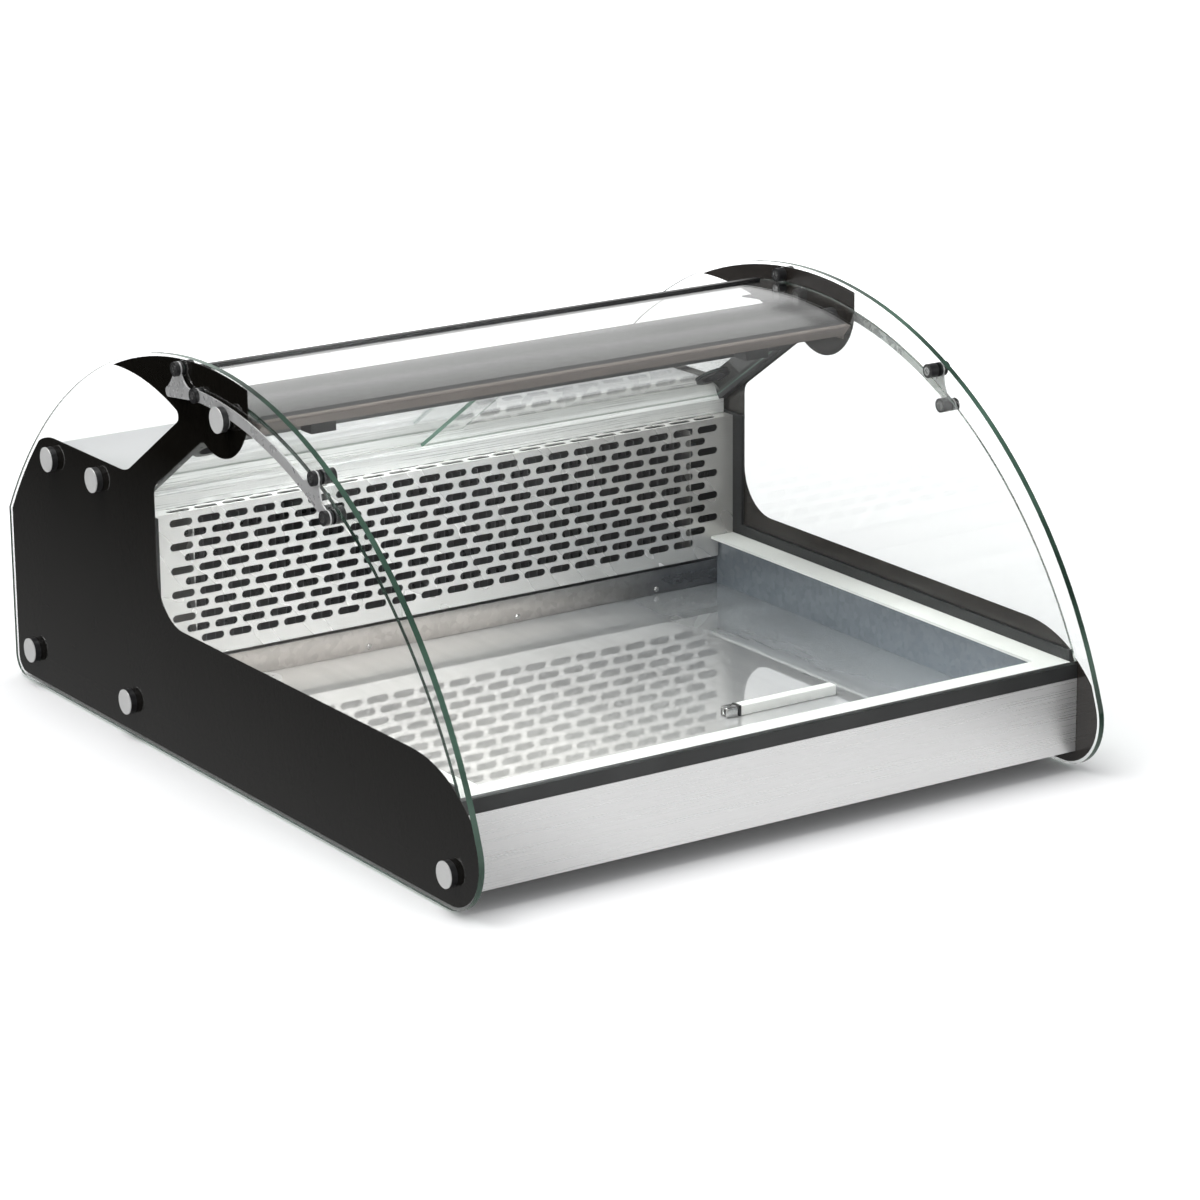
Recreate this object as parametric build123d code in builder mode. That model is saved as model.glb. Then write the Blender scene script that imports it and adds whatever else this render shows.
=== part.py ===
from build123d import *
import os
from math import acos, atan2, cos, degrees, hypot, pi, radians, sin, sqrt

os.makedirs("parts", exist_ok=True)

# Overall sizes in millimetres. Distances back are measured from the tip of the side glass,
# heights from the surface that the cabinet stands on, and the cabinet is even about x = 0.
# The depth follows from the crown's radius and the height of its rear end.
cabinet_width = 700.0
cabinet_height = 411.5
crown_radius = 495.0
rear_edge_height = 178.1
fit_gap = 0.3
sheet_t = 1.2

# Side glass, its black printed mask and the steel side panel behind them
side_glass_t = 6.0
glass_lift = 3.0
nose_radius = 52.0
heel_radius = 20.0
mask_t = 0.6
mask_inset = 3.0
hump_height = 135.0
hump_flat_y = 112.0
hump_radius = 133.0
column_lead = 15.5
column_fillet = 48.0
column_top_fillet = 15.0
tail_reach = 191.2
tail_rise = 23.0
tail_sag = 9.5
lobe_radius = 56.0
lobe_inset = 4.3
lobe_angle = -3.91
notch_fillet = 10.0
rear_mask_rise = 6.3
rear_mask_fillet = 38.0
liner_t = 3.0
liner_height = 118.0
post_height = 236.0

# Base, fascia and the strip that the front glass stands on
foot_height = 20.0
foot_radius = 20.0
foot_inset_x = 80.0
foot_inset_y = 140.0
fascia_y = 33.0
fascia_top = 93.0
fascia_return = 12.0
strip_bottom = 94.0
strip_depth = 8.0
frame_top = 107.0
frame_t = 2.7
frame_width = 28.0
frame_front_width = 22.0
lip_height = 15.0

# Well, drain and insulation
well_floor = 53.6
side_insulation = 17.1
well_front_inset = 25.0
coil_space = 68.0
bulkhead_t = 24.0
drain_side_gap = 95.0
drain_lead = 13.0
drain_hole_r = 15.0
strainer_r = 17.0
strainer_t = 1.5
pipe_r = 13.0
pipe_bore_r = 11.0
pipe_drop = 10.0

# Perforated cover over the evaporator, set by the depth of all that lies behind it
machine_depth = 297.0
cover_bottom = 84.7
cover_top = 233.7
cover_depth = 48.5
slot_length = 25.0
slot_width = 7.6
slot_pitch = 30.77
slot_row_pitch = 12.0
slot_side_margin = 18.0
slot_top_margin = 10.4
slot_bottom_margin = 15.0
slot_edge_margin = 6.5

# Evaporator and its two fans
evaporator_side_gap = 49.8
evaporator_gap = 6.0
evaporator_depth = 26.0
evaporator_bottom = 92.0
evaporator_rows = 5
evaporator_row_pitch = 26.0
evaporator_fin_pitch = 10.0
fin_t = 0.6
tube_r = 4.75
tube_play = 0.1
bracket_t = 1.5
bracket_flange = 15.0
evaporator_fan_inset = 140.0
evaporator_fan_size = 120.0
evaporator_fan_depth = 25.0
fan_wall = 3.0
fan_tip_gap = 1.5
shaft_r = 3.0
shaft_play = 0.05

# Rear housing
rear_top = 265.0
rear_break_y = 98.0
rear_slope_y = 51.0
rear_slope_z = 242.0
rear_corner_z = 172.0
back_inset = 6.0
vent_length = 34.0
vent_width = 5.0
vent_pitch_x = 42.0
vent_pitch_z = 11.0

# Compressor, condenser and condenser fan
compressor_side_gap = 234.8
compressor_back = 100.0
compressor_radius = 70.0
compressor_height = 150.0
compressor_fillet = 28.0
mount_height = 14.0
mount_radius = 11.0
mount_pitch_x = 120.0
mount_pitch_y = 100.0
foot_plate_t = 3.0
condenser_side_gap = 174.8
condenser_half = 130.0
condenser_depth = 26.0
condenser_back = 12.0
condenser_bottom = 34.0
condenser_rows = 5
condenser_row_pitch = 25.0
condenser_fin_pitch = 8.0
condenser_fan_size = 134.0
condenser_fan_depth = 34.0
line_r = 3.2
line_bend = 16.0

# Rear door band: it leans forward from its foot behind the cover to its head under the hood
door_foot_back = 18.5
door_foot_drop = 6.8
door_head_gap = 39.5
door_head_angle = 3.86
band_half = 15.5
mask_band_half = 16.6
track_height = 14.0
groove_depth = 6.0
top_groove_depth = 9.0
pane_t = 4.0
pane_play = 0.5
front_pane_w = -9.0
rear_pane_w = 5.0
pane_overlap = 25.0
jamb_width = 6.0
pull_hole_r = 15.0
pull_bore_r = 12.0
pull_flange_r = 18.0
pull_flange_t = 1.5
pull_inset_x = 45.0

# Sliding front glass and its top rail
front_glass_t = 5.0
front_glass_r = 492.7
front_glass_drop = 19.1
front_glass_foot_y = 5.35
front_glass_side_play = 1.5
front_glass_top_angle = 7.2
rail_width = 10.0
rail_height = 10.0
rail_bite = 5.0
slide_gap = 0.35

# Canopy with its lamp
hood_gap = 9.7
hood_t = 1.5
hood_side_gap = 11.0
hood_front_angle = -11.6
hood_rear_angle = 0.2
hood_ear_angle = 6.5
hood_ear_width = 25.0
hood_lip = 16.0
hood_lip_angle = 46.0
end_plate_drop = 3.4
end_plate_rake = 2.3
lamp_angle = -5.5
lamp_drop = 14.0
lamp_radius = 8.0
lamp_side_gap = 98.0
holder_length = 27.0
holder_width = 20.0
holder_drop = 21.8
spacer_radius = 9.0

# Guide fittings at the edge of the side glass, and the steel arm that joins them
sleeve_r = 7.0
sleeve_length = 9.5
screw_r = 3.0
screw_play = 0.15
screw_head_r = 4.4
screw_head_t = 0.6
hex_socket = 4.0
washer_t = 2.5
arm_t = 1.5
arm_half_width = 5.5
cap_length = 4.0
upper_pin_angle = 3.7
crown_pin_angle = -0.3
lower_pin_angle = -26.1
foot_pin_angle = -29.85
star_tip_r = 5.0
star_tip_drop = 24.0
star_tip_lead = 2.6
star_waist = 6.0
star_hollow = 14.0
lug_waist = 6.5
lug_hollow = 2.8
lug_foot_lead = 3.4

# Standoff knobs that hold the side glass
knob_r = 12.5
knob_length = 6.5
knob_face_t = 1.0
knob_rim = 0.3
stud_r = 4.0
stud_play = 0.3
knob_low = 38.0
knob_nose_inset = 46.5
knob_heel_inset = 46.5
knob_middle_lead = 44.0
knob_rear_drop = 14.0
knob_rear_lead = 97.5
knob_rear_inset = 103.4
canopy_knob_inset = 9.0
canopy_knob_angle = -6.46

# Controls in the rear panel
controller_side_gap = 74.8
controller_z = 132.0
controller_width = 78.0
controller_height = 36.0
controller_depth = 30.0
bezel_t = 3.0
bezel_overlap = 3.0
window_width = 34.0
window_height = 18.0
window_t = 0.8
button_width = 8.0
button_height = 5.0
button_depth = 3.0
button_proud = 1.0
button_pocket = 4.5
button_pitch = 11.0
button_start_x = -27.0
window_offset_x = 18.0
switch_z = 88.0
switch_pitch = 44.0
rocker_half = 12.5
rocker_width = 12.0
rocker_depth = 6.0
rocker_crown = 3.0
rocker_tilt = 8.0
rocker_axle_r = 1.5
rocker_axle_play = 0.06
rocker_axle_length = 1.0
switch_wall = 1.5
switch_bezel = 4.0
inlet_pin_set_back = 5.5
inlet_pin_pitch = 7.0
inlet_pin_width = 2.4
inlet_pin_height = 4.0
inlet_z = 50.0
inlet_width = 48.0
inlet_height = 28.0
inlet_depth = 22.0
inlet_socket_width = 24.0
inlet_socket_height = 16.5
inlet_socket_depth = 14.0

# Thermometer that lies on the well floor
thermometer_x = 79.0
thermometer_y = 225.0
thermometer_r = 5.0
thermometer_length = 107.0
collar_length = 10.0
cap_hex = 11.0
cap_hex_length = 13.0

# Derived levels across the width, from the outside in
half_width = cabinet_width / 2
glass_in = half_width - side_glass_t
mask_in = glass_in - mask_t
liner_out = mask_in - fit_gap
liner_in = liner_out - liner_t
body_half = liner_in - fit_gap
well_half = liner_in - side_insulation
evaporator_half = body_half - evaporator_side_gap
evaporator_fan_x = evaporator_half - evaporator_fan_inset
hood_half = glass_in - hood_side_gap
lamp_half = hood_half - lamp_side_gap
drain_x = -(well_half - drain_side_gap)
compressor_x = -(body_half - compressor_side_gap)
condenser_x = body_half - condenser_side_gap
controller_x = -(body_half - controller_side_gap)
inlet_x = controller_x

# The side glass is a nose arc that runs into a crown arc, and the crown sets the depth
nose_centre = (nose_radius, glass_lift + nose_radius)
crown_z = cabinet_height - crown_radius
crown_y = nose_radius + sqrt((crown_radius - nose_radius) ** 2 - (nose_centre[1] - crown_z) ** 2)
cabinet_depth = crown_y + sqrt(crown_radius ** 2 - (rear_edge_height - crown_z) ** 2)
front_y = -cabinet_depth / 2
back_y = cabinet_depth - back_inset
cover_y = cabinet_depth - machine_depth
column_y = cover_y - column_lead
drain_y = cover_y - drain_lead
tail_y = crown_y + tail_reach

# Derived levels in depth and height
pan_top = foot_height + sheet_t
fascia_back = fascia_y + sheet_t
body_front = fascia_back + fit_gap
well_front_y = fascia_y + well_front_inset
frame_bottom = frame_top - frame_t
rim_top = frame_bottom - fit_gap
well_back = cover_y + coil_space
bulkhead_y = well_back + sheet_t + fit_gap
housing_y = bulkhead_y + bulkhead_t
cover_back = cover_y + cover_depth
flange_y = cover_back + fit_gap
rear_inside_top = rear_top - sheet_t - fit_gap

# The front glass runs on a circle about this axis
front_glass_inner_r = front_glass_r - front_glass_t
axis_z = cabinet_height - front_glass_drop - front_glass_r
foot_rise = frame_top + slide_gap - axis_z
axis_y = fascia_y + front_glass_foot_y + sqrt(front_glass_inner_r ** 2 - foot_rise ** 2)
glass_foot_angle = -degrees(acos(foot_rise / front_glass_inner_r))
outer_pin_r = front_glass_r + slide_gap + sleeve_r
inner_pin_r = front_glass_inner_r - slide_gap - sleeve_r
hood_r = front_glass_inner_r - hood_gap
rail_inner_r = front_glass_inner_r - (rail_height - front_glass_t) / 2


def side_plane(x):
    """Plane across the width, with distance back and height as its own axes."""
    return Plane(origin=(x, front_y, 0), x_dir=(0, 1, 0), z_dir=(1, 0, 0))


def plan_plane(z):
    """Level plane, with x and distance back as its own axes."""
    return Plane(origin=(0, front_y, z))


def front_plane(y):
    """Upright plane that faces the front, with x and height as its own axes."""
    return Plane(origin=(0, front_y + y, 0), x_dir=(1, 0, 0), z_dir=(0, -1, 0))


def on_arc(radius, angle):
    """Point at a radius and an angle, positive to the rear, about the front glass axis."""
    return (axis_y + radius * sin(radians(angle)), axis_z + radius * cos(radians(angle)))


# The door band runs from its foot behind the cover to its head under the hood
door_foot = (cover_back - door_foot_back, rear_top - door_foot_drop)
door_head = on_arc(hood_r - hood_t - door_head_gap, door_head_angle)
door_length = hypot(door_foot[0] - door_head[0], door_head[1] - door_foot[1])
door_lean = atan2(door_head[1] - door_foot[1], door_foot[0] - door_head[0])


def door_point(along, across):
    """Point of the door band: along it from its foot, and across it to the rear."""
    y = door_foot[0] - along * cos(door_lean) + across * sin(door_lean)
    z = door_foot[1] + along * sin(door_lean) + across * cos(door_lean)
    return (y, z)


def polygon(*points):
    """Closed face through the points."""
    with BuildSketch() as face:
        with BuildLine():
            Polyline(*points, close=True)
        make_face()
    return face.sketch


def box_face(low, high):
    """Rectangle between two opposite corners."""
    return polygon(low, (high[0], low[1]), high, (low[0], high[1]))


def arc_band(inner, outer, start, end):
    """Part of a ring about the front glass axis, between two angles."""
    middle = (start + end) / 2
    with BuildSketch() as face:
        with BuildLine():
            ThreePointArc(on_arc(inner, start), on_arc(inner, middle), on_arc(inner, end))
            Line(on_arc(inner, end), on_arc(outer, end))
            ThreePointArc(on_arc(outer, end), on_arc(outer, middle), on_arc(outer, start))
            Line(on_arc(outer, start), on_arc(inner, start))
        make_face()
    return face.sketch


def folded_sheet(points, thickness, side):
    """Section of a folded sheet whose one skin follows the points."""
    with BuildSketch() as face:
        with BuildLine():
            Polyline(*points)
            offset(amount=thickness, side=side, kind=Kind.INTERSECTION)
        make_face()
    return face.sketch


def save(piece, name):
    """Label a finished piece and write it."""
    piece.label = name
    export_step(piece, f"parts/{name}.step")


def slot_places(half, shifted):
    """Centres of the slots in one row that fit in a half width."""
    reach = half - slot_side_margin - slot_length / 2
    start = slot_pitch / 2 if shifted else 0.0
    places = []
    place = start
    while place <= reach:
        places.append(place)
        if place > 0:
            places.append(-place)
        place += slot_pitch
    return sorted(places)


# Places of the knobs and fittings, each as distance back and height
knob_places = [
    (knob_nose_inset, knob_low),
    (cover_y + knob_middle_lead, knob_low),
    (cabinet_depth - knob_heel_inset, knob_low),
    (cover_y + knob_rear_lead, rear_top - knob_rear_drop),
    (cabinet_depth - knob_rear_inset, rear_top - knob_rear_drop),
]
canopy_knob = on_arc(inner_pin_r - canopy_knob_inset, canopy_knob_angle)
lobe_y, lobe_z = on_arc(front_glass_inner_r - lobe_inset, lobe_angle)
through_fittings = [
    on_arc(outer_pin_r, upper_pin_angle),
    on_arc(inner_pin_r, crown_pin_angle),
    on_arc(outer_pin_r, lower_pin_angle),
    on_arc(inner_pin_r, foot_pin_angle),
]
inner_fitting = on_arc(inner_pin_r, upper_pin_angle)
fitting_places = through_fittings + [inner_fitting]


def side_glass_face(inset):
    """Outline of the side glass: a small nose arc that runs into the large crown arc."""
    nose_r = nose_radius - inset
    crown_r = crown_radius - inset
    back = cabinet_depth - inset
    low = glass_lift + inset
    lean = ((nose_centre[0] - crown_y) / (crown_radius - nose_radius),
            (nose_centre[1] - crown_z) / (crown_radius - nose_radius))
    joint = (nose_centre[0] + lean[0] * nose_r, nose_centre[1] + lean[1] * nose_r)
    shoulder = (back, crown_z + sqrt(crown_r ** 2 - (back - crown_y) ** 2))
    with BuildSketch() as face:
        with BuildLine():
            ThreePointArc((nose_radius, low), (nose_radius - nose_r, nose_centre[1]), joint)
            ThreePointArc(joint, (crown_y, crown_z + crown_r), shoulder)
            Polyline(shoulder, (back, low), (nose_radius, low))
        make_face()
        heel = face.vertices().sort_by(Axis.X)[-2:].sort_by(Axis.Y)[0]
        fillet(heel, heel_radius - inset)
    return face.sketch


def nearest(vertices, point):
    """The vertex that lies nearest to a point."""
    return vertices.sort_by_distance(Vector(point[0], point[1], 0))[0]


def front_window_face():
    """Clear part of the side glass in front of the column, under the crown lobe."""
    slope_foot = door_point(0, -mask_band_half)
    slope_end = door_point(door_length, -mask_band_half)
    slope = (slope_end[1] - slope_foot[1]) / (slope_end[0] - slope_foot[0])
    corner = (column_y, slope_foot[1] + slope * (column_y - slope_foot[0]))
    # Where the sloping edge meets the lobe's circle, on the rear side
    shift = slope_foot[1] + slope * (lobe_y - slope_foot[0]) - lobe_z
    half_b = slope * shift
    spread = sqrt(half_b ** 2 - (1 + slope ** 2) * (shift ** 2 - lobe_radius ** 2))
    notch_y = lobe_y + (-half_b + spread) / (1 + slope ** 2)
    if notch_y > slope_foot[0]:
        notch_y = lobe_y + (-half_b - spread) / (1 + slope ** 2)
    notch = (notch_y, slope_foot[1] + slope * (notch_y - slope_foot[0]))
    hump_mid_y = hump_flat_y / 2
    hump_centre_z = hump_height - hump_radius
    hump_end = (0.0, hump_centre_z + sqrt(hump_radius ** 2 - hump_flat_y ** 2))
    hump_mid = (hump_mid_y, hump_centre_z + sqrt(hump_radius ** 2 - (hump_flat_y - hump_mid_y) ** 2))
    sky = cabinet_height + crown_radius / 10
    with BuildSketch() as face:
        with BuildLine():
            ThreePointArc(hump_end, hump_mid, (hump_flat_y, hump_height))
            Polyline((hump_flat_y, hump_height), (column_y, hump_height), corner, notch)
            ThreePointArc(notch, (lobe_y, lobe_z - lobe_radius), (lobe_y - lobe_radius, lobe_z))
            Polyline((lobe_y - lobe_radius, lobe_z), (lobe_y - lobe_radius, sky), (-nose_radius, sky),
                     (-nose_radius, hump_end[1]), hump_end)
        make_face()
        fillet(nearest(face.vertices(), (column_y, hump_height)), column_fillet)
        fillet(nearest(face.vertices(), corner), column_top_fillet)
        fillet(nearest(face.vertices(), notch), notch_fillet)
    return face.sketch


def rear_window_face():
    """Clear part of the side glass behind the door band."""
    slope_foot = door_point(0, mask_band_half)
    slope_end = door_point(door_length, mask_band_half)
    slope = (slope_end[1] - slope_foot[1]) / (slope_end[0] - slope_foot[0])
    floor = rear_top + rear_mask_rise
    corner = (slope_foot[0] + (floor - slope_foot[1]) / slope, floor)
    tail_end_z = crown_z + sqrt(crown_radius ** 2 - (tail_y - crown_y) ** 2)
    head = (slope_end[0] + (tail_end_z - tail_rise - slope_end[1]) / slope, tail_end_z - tail_rise)
    tail_mid = ((head[0] + tail_y) / 2, (head[1] + tail_end_z) / 2 + tail_sag)
    round_start = (cabinet_depth - rear_break_y - 5.0, floor)
    round_end = (round_start[0] + rear_slope_y, floor - (rear_top - rear_slope_z))
    round_mid = (round_start[0] + rear_slope_y * 0.59, floor - (rear_top - rear_slope_z) * 0.33)
    far = cabinet_depth + heel_radius
    sky = cabinet_height + heel_radius
    with BuildSketch() as face:
        with BuildLine():
            Polyline(head, corner, round_start)
            ThreePointArc(round_start, round_mid, round_end)
            Polyline(round_end, (far, round_end[1]), (far, sky), (tail_y, sky), (tail_y, tail_end_z))
            ThreePointArc((tail_y, tail_end_z), tail_mid, head)
        make_face()
        fillet(nearest(face.vertices(), corner), rear_mask_fillet)
        fillet(nearest(face.vertices(), head), hex_socket * 1.75)
    return face.sketch


def rear_section():
    """Outside section of the rear housing."""
    return polygon(
        (flange_y, pan_top), (flange_y, rear_top), (cabinet_depth - rear_break_y, rear_top),
        (cabinet_depth - rear_slope_y, rear_slope_z), (back_y, rear_corner_z), (back_y, pan_top))


# Side glass, mask and side panel, one of each per side
for side, sign in (("left", -1), ("right", 1)):
    with BuildPart() as side_glass:
        with BuildSketch(side_plane(sign * glass_in)):
            add(side_glass_face(0))
            with Locations(*knob_places, canopy_knob):
                Circle(stud_r + stud_play, mode=Mode.SUBTRACT)
            with Locations(*fitting_places):
                Circle(screw_r + screw_play, mode=Mode.SUBTRACT)
        extrude(amount=sign * side_glass_t)
    save(side_glass.part, f"side_glass_{side}")

    with BuildPart() as side_mask:
        with BuildSketch(side_plane(sign * mask_in)):
            add(side_glass_face(mask_inset))
            add(front_window_face(), mode=Mode.SUBTRACT)
            add(rear_window_face(), mode=Mode.SUBTRACT)
            with Locations(*knob_places, canopy_knob):
                Circle(stud_r + stud_play, mode=Mode.SUBTRACT)
            with Locations(*fitting_places):
                Circle(sleeve_r + fit_gap, mode=Mode.SUBTRACT)
        extrude(amount=sign * mask_t)
    save(side_mask.part, f"side_mask_{side}")

    with BuildPart() as side_panel:
        with BuildSketch(side_plane(sign * liner_in)):
            add(rear_section())
            offset(amount=-(sheet_t + fit_gap), kind=Kind.INTERSECTION)
            step_y = fascia_y + strip_depth + fit_gap
            front_step = axis_y - sqrt((front_glass_inner_r - slide_gap) ** 2 - (liner_height - axis_z) ** 2)
            low = pan_top + fit_gap
            add(polygon(
                (body_front, low), (body_front, fascia_top), (step_y, fascia_top),
                (step_y, frame_bottom), (front_step, frame_bottom), (front_step, liner_height),
                (column_y, liner_height), (column_y, post_height), (housing_y, post_height),
                (housing_y, low)))
            add(polygon(
                door_point(-2 * track_height, -band_half), door_point(door_length + track_height, -band_half),
                door_point(door_length + track_height, band_half), door_point(-2 * track_height, band_half)))
            with Locations(*knob_places):
                Circle(stud_r + stud_play, mode=Mode.SUBTRACT)
        extrude(amount=sign * liner_t)
    save(side_panel.part, f"side_panel_{side}")

# Base pan: a flat tray with an upturned lip at the front and at the back
with BuildPart() as base_pan:
    with BuildSketch(plan_plane(foot_height)):
        add(box_face((-liner_out, body_front), (liner_out, back_y)))
        with Locations((drain_x, drain_y)):
            Circle(pipe_r + fit_gap, mode=Mode.SUBTRACT)
    extrude(amount=sheet_t)
    for lip_y in (body_front, back_y - 2 * sheet_t - fit_gap):
        with BuildSketch(plan_plane(pan_top)):
            add(box_face((-body_half, lip_y), (body_half, lip_y + sheet_t)))
        extrude(amount=lip_height)
save(base_pan.part, "base_pan")

# Rubber feet under the corners of the pan
with BuildPart() as feet:
    with BuildSketch(plan_plane(0)):
        with Locations((0, cabinet_depth / 2)):
            with GridLocations(cabinet_width - 2 * foot_inset_x, cabinet_depth - 2 * foot_inset_y, 2, 2):
                Circle(foot_radius)
    extrude(amount=foot_height)
    chamfer(feet.faces().group_by(Axis.Z)[0].edges(), sheet_t)
save(feet.part, "feet")

# Brushed front fascia, a channel with short returns
with BuildPart() as front_fascia:
    with BuildSketch(front_plane(fascia_back)):
        add(box_face((-liner_out, foot_height), (liner_out, fascia_top)))
    extrude(amount=sheet_t)
    with BuildSketch(plan_plane(fascia_top - sheet_t)):
        add(box_face((-body_half, fascia_y), (body_half, fascia_back + fascia_return)))
    extrude(amount=sheet_t)
save(front_fascia.part, "front_fascia")

# Black strip across the front, with the ledge that the front glass stands on
with BuildPart() as front_strip:
    with BuildSketch(side_plane(-liner_out)):
        add(box_face((fascia_y, fascia_top + fit_gap), (fascia_y + strip_depth, frame_top)))
    extrude(amount=2 * liner_out)
save(front_strip.part, "front_strip")

# Light plastic frame round the front and sides of the well
frame_outer = body_half
frame_front = fascia_y + strip_depth + fit_gap
with BuildPart() as well_frame:
    with BuildSketch(plan_plane(frame_bottom)):
        add(box_face((-frame_outer, frame_front), (frame_outer, cover_y - fit_gap)))
        add(box_face((-frame_outer + frame_width, frame_front + frame_front_width),
                     (frame_outer - frame_width, cover_y)), mode=Mode.SUBTRACT)
    extrude(amount=frame_t)
save(well_frame.part, "well_frame")

# Places where the two refrigerant lines pass the bulkhead
line_high = (evaporator_half - 20.0, evaporator_bottom + (evaporator_rows - 0.5) * evaporator_row_pitch)
line_low = (evaporator_half - 20.0, evaporator_bottom + 0.5 * evaporator_row_pitch)

# Stainless well tub, with a rim on three sides and a tall back wall behind the evaporator
with BuildPart() as well_tub:
    with BuildSketch(plan_plane(well_floor - sheet_t)):
        add(box_face((-well_half - sheet_t, well_front_y - sheet_t),
                     (well_half + sheet_t, well_back + sheet_t)))
    extrude(amount=rim_top - well_floor + sheet_t)
    with BuildSketch(plan_plane(rim_top - sheet_t)):
        add(box_face((-body_half, frame_front), (body_half, well_back + sheet_t)))
    extrude(amount=sheet_t)
    with BuildSketch(front_plane(well_back)):
        add(box_face((-body_half, rim_top - sheet_t), (body_half, rear_inside_top)))
    extrude(amount=-sheet_t)
    with BuildSketch(plan_plane(well_floor)):
        add(box_face((-well_half, well_front_y), (well_half, well_back)))
    extrude(amount=rim_top - well_floor, mode=Mode.SUBTRACT)
    with BuildSketch(plan_plane(well_floor - sheet_t)):
        with Locations((drain_x, drain_y)):
            Circle(drain_hole_r)
    extrude(amount=sheet_t, mode=Mode.SUBTRACT)
    with BuildSketch(front_plane(well_back)):
        with Locations(line_high, line_low):
            Circle(line_r + fit_gap)
    extrude(amount=-sheet_t, mode=Mode.SUBTRACT)
save(well_tub.part, "well_tub")

# Foam under and round the well, and up between the cold space and the machine space
with BuildPart() as insulation:
    with BuildSketch(side_plane(-body_half)):
        foam_front = body_front + sheet_t + fit_gap
        foam_low = pan_top + fit_gap
        foam_rim = rim_top - sheet_t - fit_gap
        add(polygon(
            (foam_front, foam_low), (foam_front, fascia_top - sheet_t - fit_gap),
            (fascia_back + fascia_return + fit_gap, fascia_top - sheet_t - fit_gap),
            (fascia_back + fascia_return + fit_gap, foam_rim), (bulkhead_y, foam_rim),
            (bulkhead_y, rear_inside_top), (housing_y, rear_inside_top), (housing_y, foam_low)))
    extrude(amount=2 * body_half)
    with BuildSketch(plan_plane(well_floor - sheet_t - fit_gap)):
        hug = sheet_t + fit_gap
        add(box_face((-well_half - hug, well_front_y - hug), (well_half + hug, bulkhead_y)))
    extrude(amount=rim_top, mode=Mode.SUBTRACT)
    with BuildSketch(plan_plane(foot_height)):
        with Locations((drain_x, drain_y)):
            Circle(pipe_r + fit_gap)
    extrude(amount=well_floor, mode=Mode.SUBTRACT)
    with BuildSketch(front_plane(bulkhead_y)):
        with Locations(line_high, line_low):
            Circle(line_r + fit_gap)
    extrude(amount=-bulkhead_t, mode=Mode.SUBTRACT)
save(insulation.part, "insulation")

# Drain strainer and the pipe under it
with BuildPart() as drain_strainer:
    with BuildSketch(plan_plane(well_floor)):
        with Locations((drain_x, drain_y)):
            Circle(strainer_r)
            with PolarLocations(strainer_r * 0.55, 8):
                Circle(strainer_t, mode=Mode.SUBTRACT)
    extrude(amount=strainer_t)
    with BuildSketch(plan_plane(well_floor - sheet_t)):
        with Locations((drain_x, drain_y)):
            Circle(drain_hole_r - fit_gap)
            Circle(pipe_r, mode=Mode.SUBTRACT)
    extrude(amount=sheet_t)
save(drain_strainer.part, "drain_strainer")

with BuildPart() as drain_pipe:
    with BuildSketch(plan_plane(pipe_drop)):
        with Locations((drain_x, drain_y)):
            Circle(pipe_r)
            Circle(pipe_bore_r, mode=Mode.SUBTRACT)
    extrude(amount=well_floor - sheet_t - fit_gap - pipe_drop)
save(drain_pipe.part, "drain_pipe")

# Perforated cover: its front stands in the well, its top closes the evaporator space
cover_narrow = well_half - fit_gap * 6
with BuildPart() as evaporator_cover:
    with BuildSketch(front_plane(cover_y + sheet_t)):
        add(box_face((-body_half, frame_top + fit_gap), (body_half, cover_top)))
        add(box_face((-cover_narrow, cover_bottom), (cover_narrow, frame_top + fit_gap)))
        row_count = int((cover_top - cover_bottom - slot_top_margin - slot_bottom_margin) / slot_row_pitch) + 1
        for row in range(row_count):
            height = cover_top - slot_top_margin - row * slot_row_pitch
            row_half = body_half if height - slot_width > frame_top else cover_narrow
            with Locations(*[(x, height) for x in slot_places(row_half, row % 2 == 1)]):
                SlotOverall(slot_length, slot_width, mode=Mode.SUBTRACT)
    extrude(amount=sheet_t)
    with BuildSketch(plan_plane(cover_top - sheet_t)):
        add(box_face((-body_half, cover_y), (body_half, cover_back)))
        top_rows = int((cover_depth - 2 * slot_edge_margin) / slot_row_pitch) + 1
        for row in range(top_rows):
            back = cover_y + slot_edge_margin + row * slot_row_pitch
            with Locations(*[(x, back) for x in slot_places(body_half, row % 2 == 1)]):
                SlotOverall(slot_length, slot_width, mode=Mode.SUBTRACT)
    extrude(amount=sheet_t)
save(evaporator_cover.part, "evaporator_cover")


def fin_stack(middle_x, half, pitch, low_y, depth, low_z, rows, row_pitch):
    """Row of thin upright fins with a hole for each pass of the tube."""
    count = int(2 * half / pitch)
    planes = [side_plane(middle_x + (index - (count - 1) / 2) * pitch - fin_t / 2) for index in range(count)]
    with BuildPart() as stack:
        with BuildSketch(*planes):
            add(box_face((low_y, low_z), (low_y + depth, low_z + rows * row_pitch)))
            with Locations(*[(low_y + depth / 2, low_z + (row + 0.5) * row_pitch) for row in range(rows)]):
                Circle(tube_r + tube_play, mode=Mode.SUBTRACT)
        extrude(amount=fin_t)
    return stack.part


def swept_tube(points, bend, radius):
    """Round tube along straight runs joined by bends."""
    with BuildPart() as tube:
        with BuildLine() as route:
            FilletPolyline(*points, radius=bend)
        with BuildSketch(Plane(origin=route.line @ 0, z_dir=route.line % 0)):
            Circle(radius)
        sweep()
    return tube.part


def serpentine(low_x, high_x, y, low_z, rows, row_pitch):
    """Tube that runs to and fro through a stack of fins, with a bend at each end."""
    points = []
    for row in range(rows):
        z = low_z + (row + 0.5) * row_pitch
        ends = (low_x, high_x) if row % 2 == 0 else (high_x, low_x)
        points += [(ends[0], front_y + y, z), (ends[1], front_y + y, z)]
    return swept_tube(points, row_pitch / 2 * 0.94, tube_r)


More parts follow.
